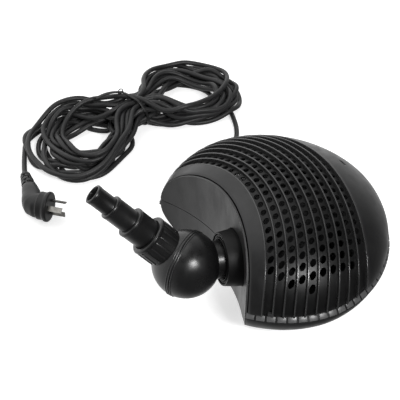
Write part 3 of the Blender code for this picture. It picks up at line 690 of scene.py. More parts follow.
path = leadPath()
mainsLead = cordCurve("mains_lead", path, lead["radius"], leadRubber)
finishPiece(mainsLead, "pump_base", "lead", "lead_to_hank", "lead_hank", "lead_to_plug")
print("lead settled:", round(float(np.linalg.norm(np.diff(path, axis=0), axis=1).sum()), 3), "m")

# the tie: one turn of flat strap round the waist, a small eye and a flat end
tie = {"width": 0.0030, "thick": 0.0012, "proud": 0.0007, "at": 0.0, "endLength": 0.036, "eye": 0.0035}


def waistOutline(path):
    u, v, z = toHank(path).T
    near = np.abs(u - tie["at"]) < 0.008
    away = lead["radius"] + tie["proud"]
    ring = [(a + away * math.cos(t), b + away * math.sin(t)) for a, b in zip(v[near], z[near])
            for t in np.linspace(0, math.tau, 12, endpoint=False)]
    ring = [(a, max(b, 0.0009)) for a, b in ring]
    ring.sort()
    hull = []
    for direction in (1, -1):
        side = []
        for point in ring[::direction]:
            while len(side) > 1 and ((side[-1][0] - side[-2][0]) * (point[1] - side[-2][1])
                                     - (side[-1][1] - side[-2][1]) * (point[0] - side[-2][0])) <= 0:
                side.pop()
            side.append(point)
        hull += side[:-1]
    return np.array(hull)


def strapShape(name, line, outward, width, thick, mat, closed=False):
    line, outward = np.asarray(line, float), np.asarray(outward, float)
    count = len(line)
    following = np.roll(line, -1, 0) - np.roll(line, 1, 0)
    if not closed:
        following[0], following[-1] = line[1] - line[0], line[-1] - line[-2]
    following /= np.linalg.norm(following, axis=1)[:, None]
    across = np.cross(following, outward)
    across /= np.linalg.norm(across, axis=1)[:, None]
    verts = []
    for k in range(count):
        for a, b in ((-0.5, -0.5), (0.5, -0.5), (0.5, 0.5), (-0.5, 0.5)):
            verts.append(line[k] + across[k] * a * width + outward[k] * b * thick)
    faces = [(4 * k + i, 4 * k + (i + 1) % 4, 4 * ((k + 1) % count) + (i + 1) % 4,
              4 * ((k + 1) % count) + i)
             for k in range(count if closed else count - 1) for i in range(4)]
    if not closed:
        faces += [(0, 1, 2, 3), tuple(4 * count - 4 + i for i in range(4))]
    return roundEdges(meshPiece(name, verts, faces, mat, 40, 0), thick * 0.3)


def makeTie():
    hull = waistOutline(path)
    away = np.linalg.norm(np.diff(np.vstack([hull, hull[:1]]), axis=0), axis=1)
    along = np.append(0, np.cumsum(away))
    steps = 72
    at = np.linspace(0, along[-1], steps, endpoint=False)
    closed = np.vstack([hull, hull[:1]])
    v, z = np.interp(at, along, closed[:, 0]), np.interp(at, along, closed[:, 1])
    # the strap lies a little askew
    lean = 0.006 * np.sin(np.linspace(0, math.tau, steps, endpoint=False) + 0.8)
    ring = fromHank(np.stack([lean, v, z], 1))
    ahead = np.roll(ring, -1, 0) - np.roll(ring, 1, 0)
    side = fromHank([(1, 0, 0)])[0] - fromHank([(0, 0, 0)])[0]
    outward = np.cross(ahead, side)
    outward /= np.linalg.norm(outward, axis=1)[:, None]
    if ((ring - ring.mean(0)) * outward).sum() < 0:
        outward = -outward
    band = strapShape("hank_tie", ring, outward, tie["width"], tie["thick"], plugRubber, closed=True)
    knot = ring[np.argmax(toHank(ring)[:, 1] * 0.6 + ring[:, 2])]
    u0, v0, z0 = toHank([knot])[0]
    end = [(u0 - t * tie["endLength"], v0 + 0.004 + 0.006 * t, z0 - 0.001 + 0.005 * math.sin(2.6 * t))
           for t in np.linspace(-0.05, 1, 14)]
    flat = strapShape("tie_end", fromHank(end), [(0, 0, 1)] * len(end), 0.0046, tie["thick"], plugRubber)
    eye = [(u0 - 0.004 + tie["eye"] * math.cos(a), v0 + 0.003, z0 + 0.0025 + tie["eye"] * math.sin(a))
           for a in np.linspace(0, math.tau, 20, endpoint=False)]
    loop = cordCurve("tie_eye", np.vstack([fromHank(eye), fromHank(eye[:1])]), 0.0006, plugRubber, 2)
    return band, [flat, settle(loop, 40)]


tieBand, tieEnds = makeTie()
finishPiece(tieBand, "pump_base", "rubber", "cord_tie")
for piece in tieEnds:
    finishPiece(piece, "pump_base", "rubber")
print("tie made")

# plug: angled body, ribbed sleeve and three flat pins
plug = {
    "face": (-0.186, 0.173, 0.018),
    "turn": math.radians(-42),
    "headRadius": 0.0178,
    "headDepth": 0.013,
    "neck": (-0.194, 0.222, 0.013),
    "sleeveEnd": (-0.1875, 0.2600, 0.0040),
    "bend": ((-0.1975, 0.2040, 0.0158), (-0.2010, 0.1870, 0.0176)),
    "voxel": 0.0008,
    "rim": 0.0016,
    "lowest": 0.0005,
    "collars": 4,            # rows of short ridges round the sleeve
    "collarParts": 20,
    "collarFirst": 0.0075,
    "collarPitch": 0.0078,
    "collarRadius": 0.0072,
    "collarTaper": 0.00062,
    "collarSize": (0.0026, 0.0046, 0.0022),
}
pinDirection = Vector((math.cos(plug["turn"]), math.sin(plug["turn"]), 0))
plugFace, plugNeck, sleeveEnd = (Vector(plug[key]) for key in ("face", "neck", "sleeveEnd"))


def joinMeshes(name, pieces, mat):
    bm = bmesh.new()
    for piece in pieces:
        bm.from_mesh(piece.data)
        bpy.data.objects.remove(piece)
    mesh = bpy.data.meshes.new(name)
    bm.to_mesh(mesh)
    bm.free()
    return linkObject(name, mesh, mat)


def ovalLoft(name, centres, widths, heights, hint, mat=None, sides=40, squareness=2.6):
    # rings of rounded-square outline along a bent line
    verts, count = [], len(centres)
    for k, centre in enumerate(centres):
        ahead = Vector(centres[min(k + 1, count - 1)]) - Vector(centres[max(k - 1, 0)])
        turn = np.array(basis(ahead, hint))
        for i in range(sides):
            a = math.tau * i / sides
            x = math.copysign(abs(math.cos(a)) ** (2 / squareness), math.cos(a)) * heights[k]
            y = math.copysign(abs(math.sin(a)) ** (2 / squareness), math.sin(a)) * widths[k]
            verts.append(np.array(centre) + turn @ np.array((x, y, 0)))
    faces = [(sides * k + i, sides * k + (i + 1) % sides, sides * (k + 1) + (i + 1) % sides,
              sides * (k + 1) + i)
             for k in range(count - 1) for i in range(sides)]
    faces += [tuple(range(sides)), tuple(sides * (count - 1) + i for i in range(sides))]
    return meshPiece(name, verts, faces, mat, 60, 0)


def makePlug():
    depth, radius = plug["headDepth"], plug["headRadius"]
    head = turnedShape("plug_head", [(0, 0), (radius - 0.001, 0), (radius, -0.001), (radius, -0.0042),
                                     (radius - plug["rim"], -0.0056), (radius * 0.93, -depth),
                                     (0, -depth - 0.001)][::-1],
                       plugFace, pinDirection, (0, 0, 1), None, closed=False)
    middle = plugFace - pinDirection * depth * 0.7
    bend = (plugNeck, *map(Vector, plug["bend"]), middle)
    line = smoothRoute([tuple(point) for point in bend], 0.004)
    swell = [0.0052 * t ** 0.8 for t in np.linspace(0, 1, len(line))]
    grip = ovalLoft("plug_grip", [Vector(point) for point in line], [0.0088 + t for t in swell],
                    [0.0086 + t for t in swell], (0, 0, 1))
    body = joinMeshes("plug_shell", [head, grip], plugRubber)
    remesh = body.modifiers.new("remesh", "REMESH")
    remesh.mode = "VOXEL"
    remesh.voxel_size = plug["voxel"]
    soften = body.modifiers.new("soften", "SMOOTH")
    soften.factor = 0.5
    soften.iterations = 5
    body = settle(body, 50)
    for vert in body.data.vertices:
        vert.co.z = max(vert.co.z, plug["lowest"])
    return body


plugBody = finishPiece(makePlug(), "pump_base", "rubber", "plug_body")
sleeveDirection = (sleeveEnd - plugNeck).normalized()
sleeveLength = (sleeveEnd - plugNeck).length
sleeve = turnedShape("plug_sleeve", roundedProfile([
    (0.0040, sleeveLength), (0.0049, sleeveLength * 0.55), (0.0066, 0.010), (0.0070, 0.0026),
    (0.0034, 0.0026),
    (0.0034, sleeveLength)], 0.0005), plugNeck, sleeveDirection, (0, 0, 1), plugRubber, 40)
finishPiece(sleeve, "pump_base", "rubber", "plug_relief")


def sleeveCollars():
    # short collars round the sleeve, each in four parts with gaps between them
    points, outward, along = [], [], []
    turn = basis(sleeveDirection, (0, 0, 1))
    for row in range(plug["collars"]):
        place = plug["collarFirst"] + plug["collarPitch"] * row
        radius = plug["collarRadius"] - plug["collarTaper"] * row
        for k in range(plug["collarParts"]):
            if k % 5 == (4, 1)[row % 2]:
                continue
            angle = math.tau * k / plug["collarParts"]
            away = turn @ Vector((math.cos(angle), math.sin(angle), 0))
            points.append(plugNeck + sleeveDirection * place + away * radius)
            outward.append(away)
            along.append(turn @ Vector((-math.sin(angle), math.cos(angle), 0)))
    guide = guideMesh("plug_sleeve_ribs", [points], [outward], [along])
    length, width, height = plug["collarSize"]
    made = runTree(guide, stud, Length=length, Width=width, Height=height, Finish=plugRubber)
    return roundEdges(made, 0.0004)


sleeveRibs = finishPiece(sleeveCollars(), "pump_base", "rubber")
cordPieces = [plugBody, sleeve, sleeveRibs, tieBand, *tieEnds, "cable_gland"]
cordPieces += ["plug_pin_live", "plug_pin_neutral", "plug_pin_earth"]
print("plug made")

# cage: the CAD's egg shape, as a surface that rib arcs, holes and walls follow
cage = {
    "front": 0.1218,
    "rear": 0.1289,
    "halfWidth": 0.132,
    "parting": 0.049,
    "domeRise": 0.078,
    "bowlDrop": 0.062,
    "power": 2 / 1.05,
    "wall": 0.0025,
    "scoopX": -0.2205,
    "scoopRadius": 0.1666,
    "ribs": 11,              # crests, with a row of holes between each two
    "firstRib": -0.0338,     # where the crests cross the middle line
    "lastRib": 0.0695,
    "ribCentres": (-0.2028, -0.2086),
    "ribWidth": 0.0015,
    "grooveDepth": 0.0030,
    "holePitch": 0.0101,
    "holeRadius": 0.0033,
    "holeRows": (10, 11, 12, 12, 13, 12, 12, 12, 12, 10),      # holes each side of the middle line
    "grooveWall": 0.0018,
    "wallEdge": 0.0018,      # of the hollow front wall
    "shadowLine": 0.0012,    # groove between that wall and the collar
}


def planSum(x, y):
    length = np.where(x < 0, cage["front"], cage["rear"])
    return np.abs(x / length) ** cage["power"] + np.abs(y / cage["halfWidth"]) ** cage["power"]


def domeHeight(x, y):
    return cage["parting"] + cage["domeRise"] * np.clip(1 - planSum(x, y), 0, None) ** (1 / cage["power"])


def domeNormal(points):
    x, y, z = np.asarray(points, float).T
    p = cage["power"]
    length = np.where(x < 0, cage["front"], cage["rear"])
    rise = np.where(z >= cage["parting"], cage["domeRise"], cage["bowlDrop"])
    high = (z - cage["parting"]) / rise
    parts = [np.sign(c) * np.abs(c) ** (p - 1) / size for c, size in
             ((x / length, length), (y / cage["halfWidth"], cage["halfWidth"]), (high, rise))]
    made = np.stack(parts, 1)
    return made / np.linalg.norm(made, axis=1)[:, None]


def arcAcross(centreX, radius, count=801):
    # an upright cylinder's cut through the dome, from the near parting line over the top to the far one
    low, high = 0.0, 2.4
    for _ in range(48):
        middle = (low + high) / 2
        inside = planSum(centreX + radius * math.cos(middle), radius * math.sin(middle)) < 1
        low, high = (middle, high) if inside else (low, middle)
    turn = low * np.sin(np.linspace(-1, 1, count) * math.pi / 2)
    x, y = centreX + radius * np.cos(turn), radius * np.sin(turn)
    line = np.stack([x, y, domeHeight(x, y)], 1)
    line[[0, -1], 2] = cage["parting"]
    along = np.append(0, np.cumsum(np.linalg.norm(np.diff(line, axis=0), axis=1)))
    top = np.interp(0, y, along)
    return line, along - top


def ribArc(place):
    # place runs from 0 at the first crest to ribs - 1 at the last
    share = place / (cage["ribs"] - 1)
    crossing = cage["firstRib"] + (cage["lastRib"] - cage["firstRib"]) * share
    centre = cage["ribCentres"][0] + (cage["ribCentres"][1] - cage["ribCentres"][0]) * share
    return arcAcross(centre, crossing - centre)


fine = 4                     # arcs worked out for each rib pitch
arcs = [ribArc(k / fine) for k in range((cage["ribs"] - 1) * fine + 1)]


def ribSurface(place, along, depth):
    # points on the dome, set in by depth, by rib number and distance from the middle line
    place, along, depth = (np.asarray(a, float).ravel() for a in np.broadcast_arrays(place, along, depth))
    index = np.clip((place * fine).astype(int), 0, len(arcs) - 2)
    share = place * fine - index
    points = np.zeros((len(place), 3))
    for k in np.unique(index):
        here = index == k
        for offset, weight in ((0, 1 - share[here]), (1, share[here])):
            line, run = arcs[k + offset]
            for axis in range(3):
                points[here, axis] += weight * np.interp(along[here], run, line[:, axis])
    return points - domeNormal(points) * depth[:, None]


def arcEnds(place):
    k = int(round(place * fine))
    return arcs[k][1][0], arcs[k][1][-1]


def perforatedFloor(column):
    # a strip of groove floor: a ring of faces round each hole, and plain strips down to the parting line
    pitch, rows, sides = cage["holePitch"], cage["holeRows"][column], 24
    half = sides // 8
    square = []
    for side in range(4):
        for k in range(2 * half):
            t = -1 + k / half
            square.append([(1, t), (-t, 1), (-1, -t), (t, -1)][side])
    square = np.array(square)                   # outline of a cell, from -1 to 1 both ways
    pitchAcross = (cage["lastRib"] - cage["firstRib"]) / (cage["ribs"] - 1)
    verts, faces = [], []

    def drawnOut(row):
        # the rows lie further apart low on the sides
        return pitch * (row + 0.0045 * np.sign(row) * np.maximum(np.abs(row) - 7.2, 0) ** 3)

    def addRow(place, along):
        verts.append(np.stack([place, along], 1))
        return sum(len(v) for v in verts[:-1])

    for row in range(-rows, rows + 1):
        long = 1 + 0.12 * max(0, abs(row) / rows - 0.45)
        rings = []
        for radius in (None, cage["holeRadius"] * 1.16, cage["holeRadius"]):
            if radius is None:
                shape = square * (0.5, 0.5)
            else:
                angle = np.arctan2(square[:, 1], square[:, 0])
                shape = np.stack([np.cos(angle) * radius / pitchAcross,
                                  np.sin(angle) * radius * long / pitch], 1)
            rings.append(addRow(column + 0.5 + shape[:, 0], drawnOut(row + shape[:, 1])))
        for a, b in zip(rings, rings[1:]):
            faces += [(a + k, a + (k + 1) % sides, b + (k + 1) % sides, b + k) for k in range(sides)]
    across = np.linspace(0, 1, 2 * half + 1)
    for side in (-1, 1):
        start = drawnOut(side * (rows + 0.5))
        ends = np.array([arcEnds(column + t)[0 if side < 0 else 1] for t in np.round(across * fine) / fine])
        ends = np.interp(across, np.round(across * fine) / fine, ends) if len(set(ends)) > 1 else ends
        rings = [addRow(column + across, start + (ends - start) * t) for t in np.linspace(0, 1, 16)]
        for a, b in zip(rings, rings[1:]):
            faces += [(a + k, a + k + 1, b + k + 1, b + k) for k in range(2 * half)]
    flat = np.vstack(verts)
    return ribSurface(flat[:, 0], flat[:, 1], cage["grooveDepth"]), faces


def shellPiece(name, verts, faces, mat, thick):
    # an open sheet on the outside of the cage, thickened inwards
    made = meshPiece(name, verts, faces, mat, 50)
    mesh = made.data
    centre = Vector((0.0, 0.0, 0.02))
    outward = sum((face.normal.dot(face.center - centre) for face in mesh.polygons))
    if outward < 0:
        mesh.flip_normals()
    return thicken(made, thick)


def makeFloors():
    pieces = []
    for column in range(cage["ribs"] - 1):
        verts, faces = perforatedFloor(column)
        pieces.append(shellPiece("strip_%d" % column, verts, faces, None, cage["grooveWall"]))
    # the groove floors take the darker copy of the plastic, painted shade in the recesses
    made = joinMeshes("cage_grille", pieces, groovePlastic)
    softenShade(made.data, 45)
    return made


grille = finishPiece(makeFloors(), "cage_top", "cage", "upper_cage")
print("grille made:", len(grille.data.polygons), "faces")


def makeRibs():
    lines, outward = [], []
    for k in range(cage["ribs"]):
        low, high = arcEnds(k)
        along = np.linspace(low, high, 150)
        line = ribSurface(np.full(150, float(k)), along, 0.0)
        lines.append(line - domeNormal(line) * (cage["grooveDepth"] / 2 - 0.0001))
        outward.append(domeNormal(line))
    guide = guideMesh("cage_ribs", lines, outward)
    # the ribs take the lighter copy of the plastic, a painted highlight on the crests
    return runTree(guide, sweptRib, 50, Width=cage["ribWidth"], Height=cage["grooveDepth"] + 0.0004,
                   Round=0.00045, Finish=ribPlastic)


finishPiece(makeRibs(), "cage_top", "cage")
print("ribs made")


def gridFaces(rows, columns, first=0, loop=False):
    return [(first + r * columns + c, first + r * columns + (c + 1) % columns,
             first + (r + 1) * columns + (c + 1) % columns, first + (r + 1) * columns + c)
            for r in range(rows - 1) for c in range(columns if loop else columns - 1)]


def arcBand(lines, depths, count=160):
    # rows of points at even steps along each of several arcs
    rows = []
    for (line, along), depth in zip(lines, depths):
        at = np.linspace(along[0], along[-1], count)
        points = np.stack([np.interp(at, along, line[:, axis]) for axis in range(3)], 1)
        rows.append(points - domeNormal(points) * depth)
    return np.vstack(rows), gridFaces(len(rows), count)


def collarArcs(steps):
    lines = []
    start = (cage["scoopX"], cage["scoopRadius"] + cage["wallEdge"] + cage["shadowLine"])
    end = (cage["ribCentres"][0], cage["firstRib"] - cage["ribCentres"][0])
    for t in np.linspace(0, 1, steps):
        lines.append(arcAcross(start[0] + (end[0] - start[0]) * t, start[1] + (end[1] - start[1]) * t))
    return lines


collarLines = collarArcs(15)
collarDepths = [0.0006, 0.00015] + [0.0] * 13            # the front edge rolls in
collarVerts, collarFaces = arcBand(collarLines, collarDepths)
collar = shellPiece("cage_collar", collarVerts, collarFaces, cagePlastic, cage["wall"])

noseRows = 26
noseLines = []
for t in np.linspace(0, 1, noseRows):
    crossing = cage["lastRib"] + (cage["rear"] - 0.00001 - cage["lastRib"]) * math.sin(t * math.pi / 2)
    noseLines.append(arcAcross(cage["ribCentres"][1], crossing - cage["ribCentres"][1]))
noseVerts, noseFaces = arcBand(noseLines, [0.0] * noseRows)
nose = shellPiece("cage_nose", noseVerts, noseFaces, cagePlastic, cage["wall"])
print("collar and nose made")

# outlet directions, as in the CAD
outlet = {
    "angle": math.radians(11.5),
    "tilt": math.radians(6),
    "height": 0.0606,
    "cupLength": 0.0187,
    "cupRadius": 0.0275,
    "flare": 0.0020,
    "cupBore": 0.0257,
    "seat": 0.0040,
    "throat": 0.0140,
    "ballReach": 0.0547,
    "ballRadius": 0.0348,
    "ballWall": 0.003,
    "twist": math.radians(62.4),
    "steps": ((0.0761, 0.0160), (0.1017, 0.0125), (0.1236, 0.0100)),
    "gap": 0.0003,
}
outletDirection = Vector((-math.cos(outlet["angle"]) * math.cos(outlet["tilt"]),
                          math.sin(outlet["angle"]) * math.cos(outlet["tilt"]), math.sin(outlet["tilt"])))
sideDirection = Vector((math.sin(outlet["angle"]), math.cos(outlet["angle"]), 0))
outletPoint = Vector((cage["scoopX"] + cage["scoopRadius"] * math.cos(outlet["angle"]),
                      -cage["scoopRadius"] * math.sin(outlet["angle"]), outlet["height"]))
ballCentre = outletPoint + outletDirection * outlet["ballReach"]
jointDirection = (outletDirection + sideDirection).normalized()
barbDirection = Matrix.Rotation(outlet["twist"], 3, jointDirection) @ outletDirection


def rodShape(name, radius, start, end, origin, axis, hint=(0, 0, 1), mat=None, sides=96):
    return turnedShape(name, [(0, end), (radius, end), (radius, start), (0, start)], origin, axis, hint,
                       mat, sides, closed=False)


def cupCutter():
    radius = outlet["cupRadius"] + outlet["flare"] + 0.0004
    return rodShape("cup_cutter", radius, -0.03, 0.02, outletPoint, outletDirection)


# hollow front wall, in the two cage halves
latch = {"x": -0.064, "width": 0.0056, "low": 0.0480, "high": 0.0547}


def scoopWall(name, lowZ, highZ, mat):
    # an upright curved wall, from lowZ (or the bowl's edge) up to highZ (or the dome's edge)
    radius = cage["scoopRadius"] + 0.0001
    reach = 0.0
    while planSum(cage["scoopX"] + radius * math.cos(reach), radius * math.sin(reach)) < 0.994:
        reach += 0.0005
    rows, count = 40, 121
    verts = []
    for turn in np.linspace(-reach, reach, count):
        x, y = cage["scoopX"] + radius * math.cos(turn), radius * math.sin(turn)
        room = max(1 - planSum(x, y), 0.0) ** (1 / cage["power"])
        top = cage["parting"] + cage["domeRise"] * room - 0.0003 if highZ is None else highZ
        bottom = max(lowZ, cage["parting"] - 0.007 - cage["bowlDrop"] * room) if highZ is not None else lowZ
        verts.append([(x, y, bottom + (top - bottom) * t) for t in np.linspace(0, 1, rows)])
    piece = meshPiece(name, np.vstack(verts), gridFaces(count, rows), mat, 50)
    if sum(face.normal.x for face in piece.data.polygons) > 0:
        piece.data.flip_normals()
    return thicken(piece, cage["wallEdge"] - 0.0001)


upperWall = cutAway(scoopWall("cage_front_wall", cage["parting"], None, wallPlastic), cupCutter())
lowerWall = cutAway(scoopWall("bowl_front_wall", 0.0004, cage["parting"] - cage["shadowLine"], wallPlastic),
                    cupCutter())


def outlineHalf(x):
    # half width of the cage's outline at x, ahead of the middle
    return cage["halfWidth"] * (1 - abs(x / cage["front"]) ** cage["power"]) ** (1 / cage["power"])


def latchNotches():
    made = []
    for side in (-1, 1):
        step = 0.0005
        plan = [outlineHalf(latch["x"] + d) for d in (-step, 0, step)]
        normal = Vector((-(plan[2] - plan[0]) / (2 * step), 1, 0)).normalized()
        normal.y *= side
        point = Vector((latch["x"], side * plan[1], 0))
        half = latch["width"] / 2
        made.append(boxShape("latch_notch", (-half, -0.03, latch["low"]), (half, 0.03, latch["high"]),
                             placeMatrix(point, (0, 0, 1), normal.cross(Vector((0, 0, 1))))))
    return made


collar = cutAway(collar, *latchNotches())
noseSlot = {"at": (0.0905, 0.0020), "length": 0.0095, "width": 0.0022, "turn": math.radians(90)}
slotX, slotY = noseSlot["at"]
slotMatrix = Matrix.Translation((slotX, slotY, 0)) @ Matrix.Rotation(noseSlot["turn"], 4, "Z")
nose = cutAway(nose, boxShape("nose_slot", (-noseSlot["length"] / 2, -noseSlot["width"] / 2, 0.05),
                              (noseSlot["length"] / 2, noseSlot["width"] / 2, 0.15), slotMatrix))
for piece in (upperWall, collar, nose):
    finishPiece(piece, "cage_top", "cage", "upper_cage")
print("cage top finished")

# lower cage: bowl, slotted rim and front wall
bowl = {
    "rimTop": 0.0484,
    "rimLow": 0.0420,
    "rimFlat": (0.0432, 0.0438),       # heights of the rim's upright band and its top edge
    "rimInner": -0.0045,
    "proud": 0.0016,
    "slotPitch": 0.0103,
    "slotWidth": 0.0019,
    "panel": (0.0056, 0.0016),         # width up the slope, and thickness
    "panelHeight": 0.0459,
    "panelInset": -0.0004,
    "panelLean": 0.87,
    "behindWall": 0.0012,              # the shell starts this far behind the hollow front
    "gland": (0.045, 0.1136, 0.022),
    "glandHole": 0.0073,
}


def outlineRun(offset, count=721):
    # the cage's plan outline, from one scoop corner round the back to the other, set out by offset
    angles = np.linspace(-math.pi, math.pi, 4001)
    p = cage["power"]
    c, s = np.cos(angles), np.sin(angles)
    length = np.where(c < 0, cage["front"], cage["rear"])
    x = np.sign(c) * np.abs(c) ** (2 / p) * length
    y = np.sign(s) * np.abs(s) ** (2 / p) * cage["halfWidth"]
    normal = domeNormal(np.stack([x, y, np.full_like(x, cage["parting"])], 1))
    line = np.stack([x, y], 1) + normal[:, :2] * offset
    outside = np.hypot(line[:, 0] - cage["scoopX"], line[:, 1]) > cage["scoopRadius"]
    line, normal = line[outside], normal[outside]
    along = np.append(0, np.cumsum(np.linalg.norm(np.diff(line, axis=0), axis=1)))
    at = np.linspace(0, along[-1], count)
    even = np.stack([np.interp(at, along, line[:, k]) for k in (0, 1)], 1)
    facing = np.stack([np.interp(at, along, normal[:, k]) for k in (0, 1)], 1)
    return even, facing, along[-1]


def sweepSection(name, section, mat):
    # section is (offset outwards, height) points, swept round the outline
    count = 361
    runs = {}
    verts = []
    for offset, z in section:
        if offset not in runs:
            runs[offset] = outlineRun(offset, count)[0]
        verts.append(np.column_stack([runs[offset], np.full(count, z)]))
    many = len(section)
    stacked = np.stack(verts, 1).reshape(-1, 3)
    faces = [(many * k + i, many * k + (i + 1) % many, many * (k + 1) + (i + 1) % many, many * (k + 1) + i)
             for k in range(count - 1) for i in range(many)]
    faces += [tuple(range(many)), tuple(many * (count - 1) + i for i in range(many))]
    return meshPiece(name, stacked, faces, mat, 35)


def makeBowl():
    rows, count, verts = 26, 361, []
    scoop = cage["scoopRadius"] + bowl["behindWall"]
    for k in range(rows):
        t = k / (rows - 1)
        drop = bowl["rimLow"] * math.sin(t * math.pi / 2)
        room = (1 - (drop / cage["bowlDrop"]) ** cage["power"]) ** (1 / cage["power"])
        even = outlineRun(0.0, count)[0] * room
        # keep behind the hollow front
        away = np.hypot(even[:, 0] - cage["scoopX"], even[:, 1])
        push = np.maximum(away, scoop) / away
        even = np.column_stack([cage["scoopX"] + (even[:, 0] - cage["scoopX"]) * push, even[:, 1] * push])
        verts.append(np.column_stack([even, np.full(count, bowl["rimLow"] - drop)]))
    stacked = np.vstack(verts)
    shell = meshPiece("bowl_shell", stacked, gridFaces(rows, count), cagePlastic, 50)
    if sum(face.normal.dot(Vector((face.center.x, face.center.y, 0))) for face in shell.data.polygons) < 0:
        shell.data.flip_normals()
    shell = thicken(shell, cage["wall"])
    edge = verts[-1]
    turns = np.linspace(-0.55, 0.55, 61)
    front = np.column_stack([cage["scoopX"] + scoop * np.cos(turns), scoop * np.sin(turns)])
    front = front[np.abs(front[:, 1]) < abs(edge[0][1])]
    if np.linalg.norm(front[0] - edge[-1][:2]) > np.linalg.norm(front[-1] - edge[-1][:2]):
        front = front[::-1]
    outline = np.vstack([edge[:, :2], front])
    many = len(outline)
    base = [(x, y, z) for z in (0.0, cage["wall"]) for x, y in outline]
    faces = [tuple(range(many)), tuple(many + i for i in range(many))]
    faces += [(i, (i + 1) % many, many + (i + 1) % many, many + i) for i in range(many)]
    plate = meshPiece("bowl_base", base, faces, cagePlastic, 40)
    return shell, plate


bowlShell, bowlBase = makeBowl()
rimBand, rimEdge = bowl["rimFlat"]
rimSection = [(bowl["rimInner"], bowl["rimTop"]), (-0.0026, bowl["rimTop"]),
              (-0.0022, bowl["rimTop"] - 0.0006),
              (bowl["proud"] - 0.0004, rimEdge), (bowl["proud"], rimBand), (bowl["proud"], bowl["rimLow"]),
              (-0.0002, bowl["rimLow"] - 0.0008), (bowl["rimInner"], bowl["rimLow"] - 0.0008)]
rim = sweepSection("bowl_rim", rimSection, cagePlastic)


def rimPanels():
    # sloping panels round the rim, with a slot between each two
    count = 1441
    even, facing, length = outlineRun(bowl["panelInset"], count)
    number = int(length / bowl["slotPitch"])
    at = (np.arange(number) + 0.5) / number * (count - 1)
    points, outward, along = [], [], []
    for place in at:
        x, y = (np.interp(place, range(count), even[:, k]) for k in (0, 1))
        a, b = (np.interp(place, range(count), facing[:, k]) for k in (0, 1))
        out = Vector((a, b, 0)).normalized()
        points.append((x, y, bowl["panelHeight"]))
        outward.append((out + Vector((0, 0, bowl["panelLean"]))).normalized())
        along.append(Vector((-out.y, out.x, 0)))
    guide = guideMesh("rim_panels", [points], [outward], [along])
    width, thick = bowl["panel"]
    # the panels take the lighter copy of the plastic, painted light on the rim ledge
    made = runTree(guide, stud, Length=bowl["slotPitch"] - bowl["slotWidth"], Width=width, Height=thick,
                   Finish=panelPlastic)
    return roundEdges(made, 0.0003)


glandCutter = rodShape("gland_cutter", bowl["glandHole"], -0.02, 0.02, bowl["gland"], (0, 1, 0))
bowlShell = cutAway(bowlShell, glandCutter)
for piece in (bowlShell, bowlBase, rim, lowerWall):
    finishPiece(piece, "pump_base", "cage", "lower_cage")
finishPiece(rimPanels(), "pump_base", "cage")
print("cage base finished")

# outlet cup, union ring and ball
# behind the cup, into the chamber
tube = {"radius": 0.0155, "bore": 0.0125, "back": -0.030, "step": -0.0137}
cupBase = outlet["cupRadius"] + outlet["flare"]
cup = turnedShape("outlet_cup", roundedProfile([
    (outlet["cupRadius"], outlet["cupLength"]), (cupBase, 0.006), (cupBase, -0.006),
    (tube["radius"], -0.008), (tube["radius"], tube["back"]), (tube["bore"], tube["back"]),
    (tube["bore"], tube["step"]), (outlet["throat"], -0.011), (outlet["throat"], outlet["seat"]),
    (outlet["cupBore"], outlet["seat"]), (outlet["cupBore"], outlet["cupLength"])], 0.0007),
    outletPoint, outletDirection, sideDirection, cupPlastic, 128)
finishPiece(cup, "pump_base", "fitting", "outlet_nozzle")
ring = {"bore": 0.0199, "outer": 0.0254, "back": 0.0093, "front": 0.0186, "lip": 0.0222, "knurls": 40,
        "knurlSize": (0.0020, 0.0014, 0.0016)}
unionRing = turnedShape("ring_body", roundedProfile([
    (ring["outer"], ring["front"] - 0.0022), (ring["outer"], ring["back"]), (ring["bore"], ring["back"]),
    (ring["bore"], ring["front"] - 0.0020), (ring["lip"] - 0.0007, ring["front"]),
    (ring["lip"], ring["front"]),
    (ring["lip"] + 0.0003, ring["front"] - 0.0022)], 0.0003),
    outletPoint, outletDirection, sideDirection, cupPlastic, 112)
finishPiece(unionRing, "union_nut", "fitting", "union_ring")


def aroundAxis(name, origin, axis, hint, count, radius, height, radial=True):
    # guide points round an axis, for studs that stand outwards or along it
    turn = basis(axis, hint)
    points, outward, along = [], [], []
    for k in range(count):
        angle = math.tau * k / count
        away = turn @ Vector((math.cos(angle), math.sin(angle), 0))
        points.append(Vector(origin) + Vector(axis) * height + away * radius)
        outward.append(away if radial else Vector(axis))
        along.append(Vector(axis) if radial else away)
    return guideMesh(name, [points], [outward], [along])


knurls = aroundAxis("ring_knurls", outletPoint, outletDirection, sideDirection, ring["knurls"],
                    ring["outer"] - 0.0014, ring["front"] - 0.0017, radial=False)
length, width, height = ring["knurlSize"]
knurls = runTree(knurls, stud, Length=length, Width=width, Height=height, Finish=fittingPlastic)
knurls = roundEdges(knurls, 0.0002)
finishPiece(knurls, "union_nut", "fitting")

neck = {"radius": 0.0195, "flange": 0.0225, "flangeBack": 0.0056, "flangeThick": 0.0034, "bore": 0.0155}
spigot = {"radius": 0.0172, "bore": 0.0130, "end": 0.0440}


def sphereAngle(sphere, radius):
    return math.degrees(math.asin(radius / sphere))


def halfBlock(front):
    low, high = (-outlet["gap"] / 2, 0.1) if front else (-0.1, outlet["gap"] / 2)
    return boxShape("half_block", (-0.1, -0.1, low), (0.1, 0.1, high),
                    placeMatrix(ballCentre, jointDirection, outletDirection))


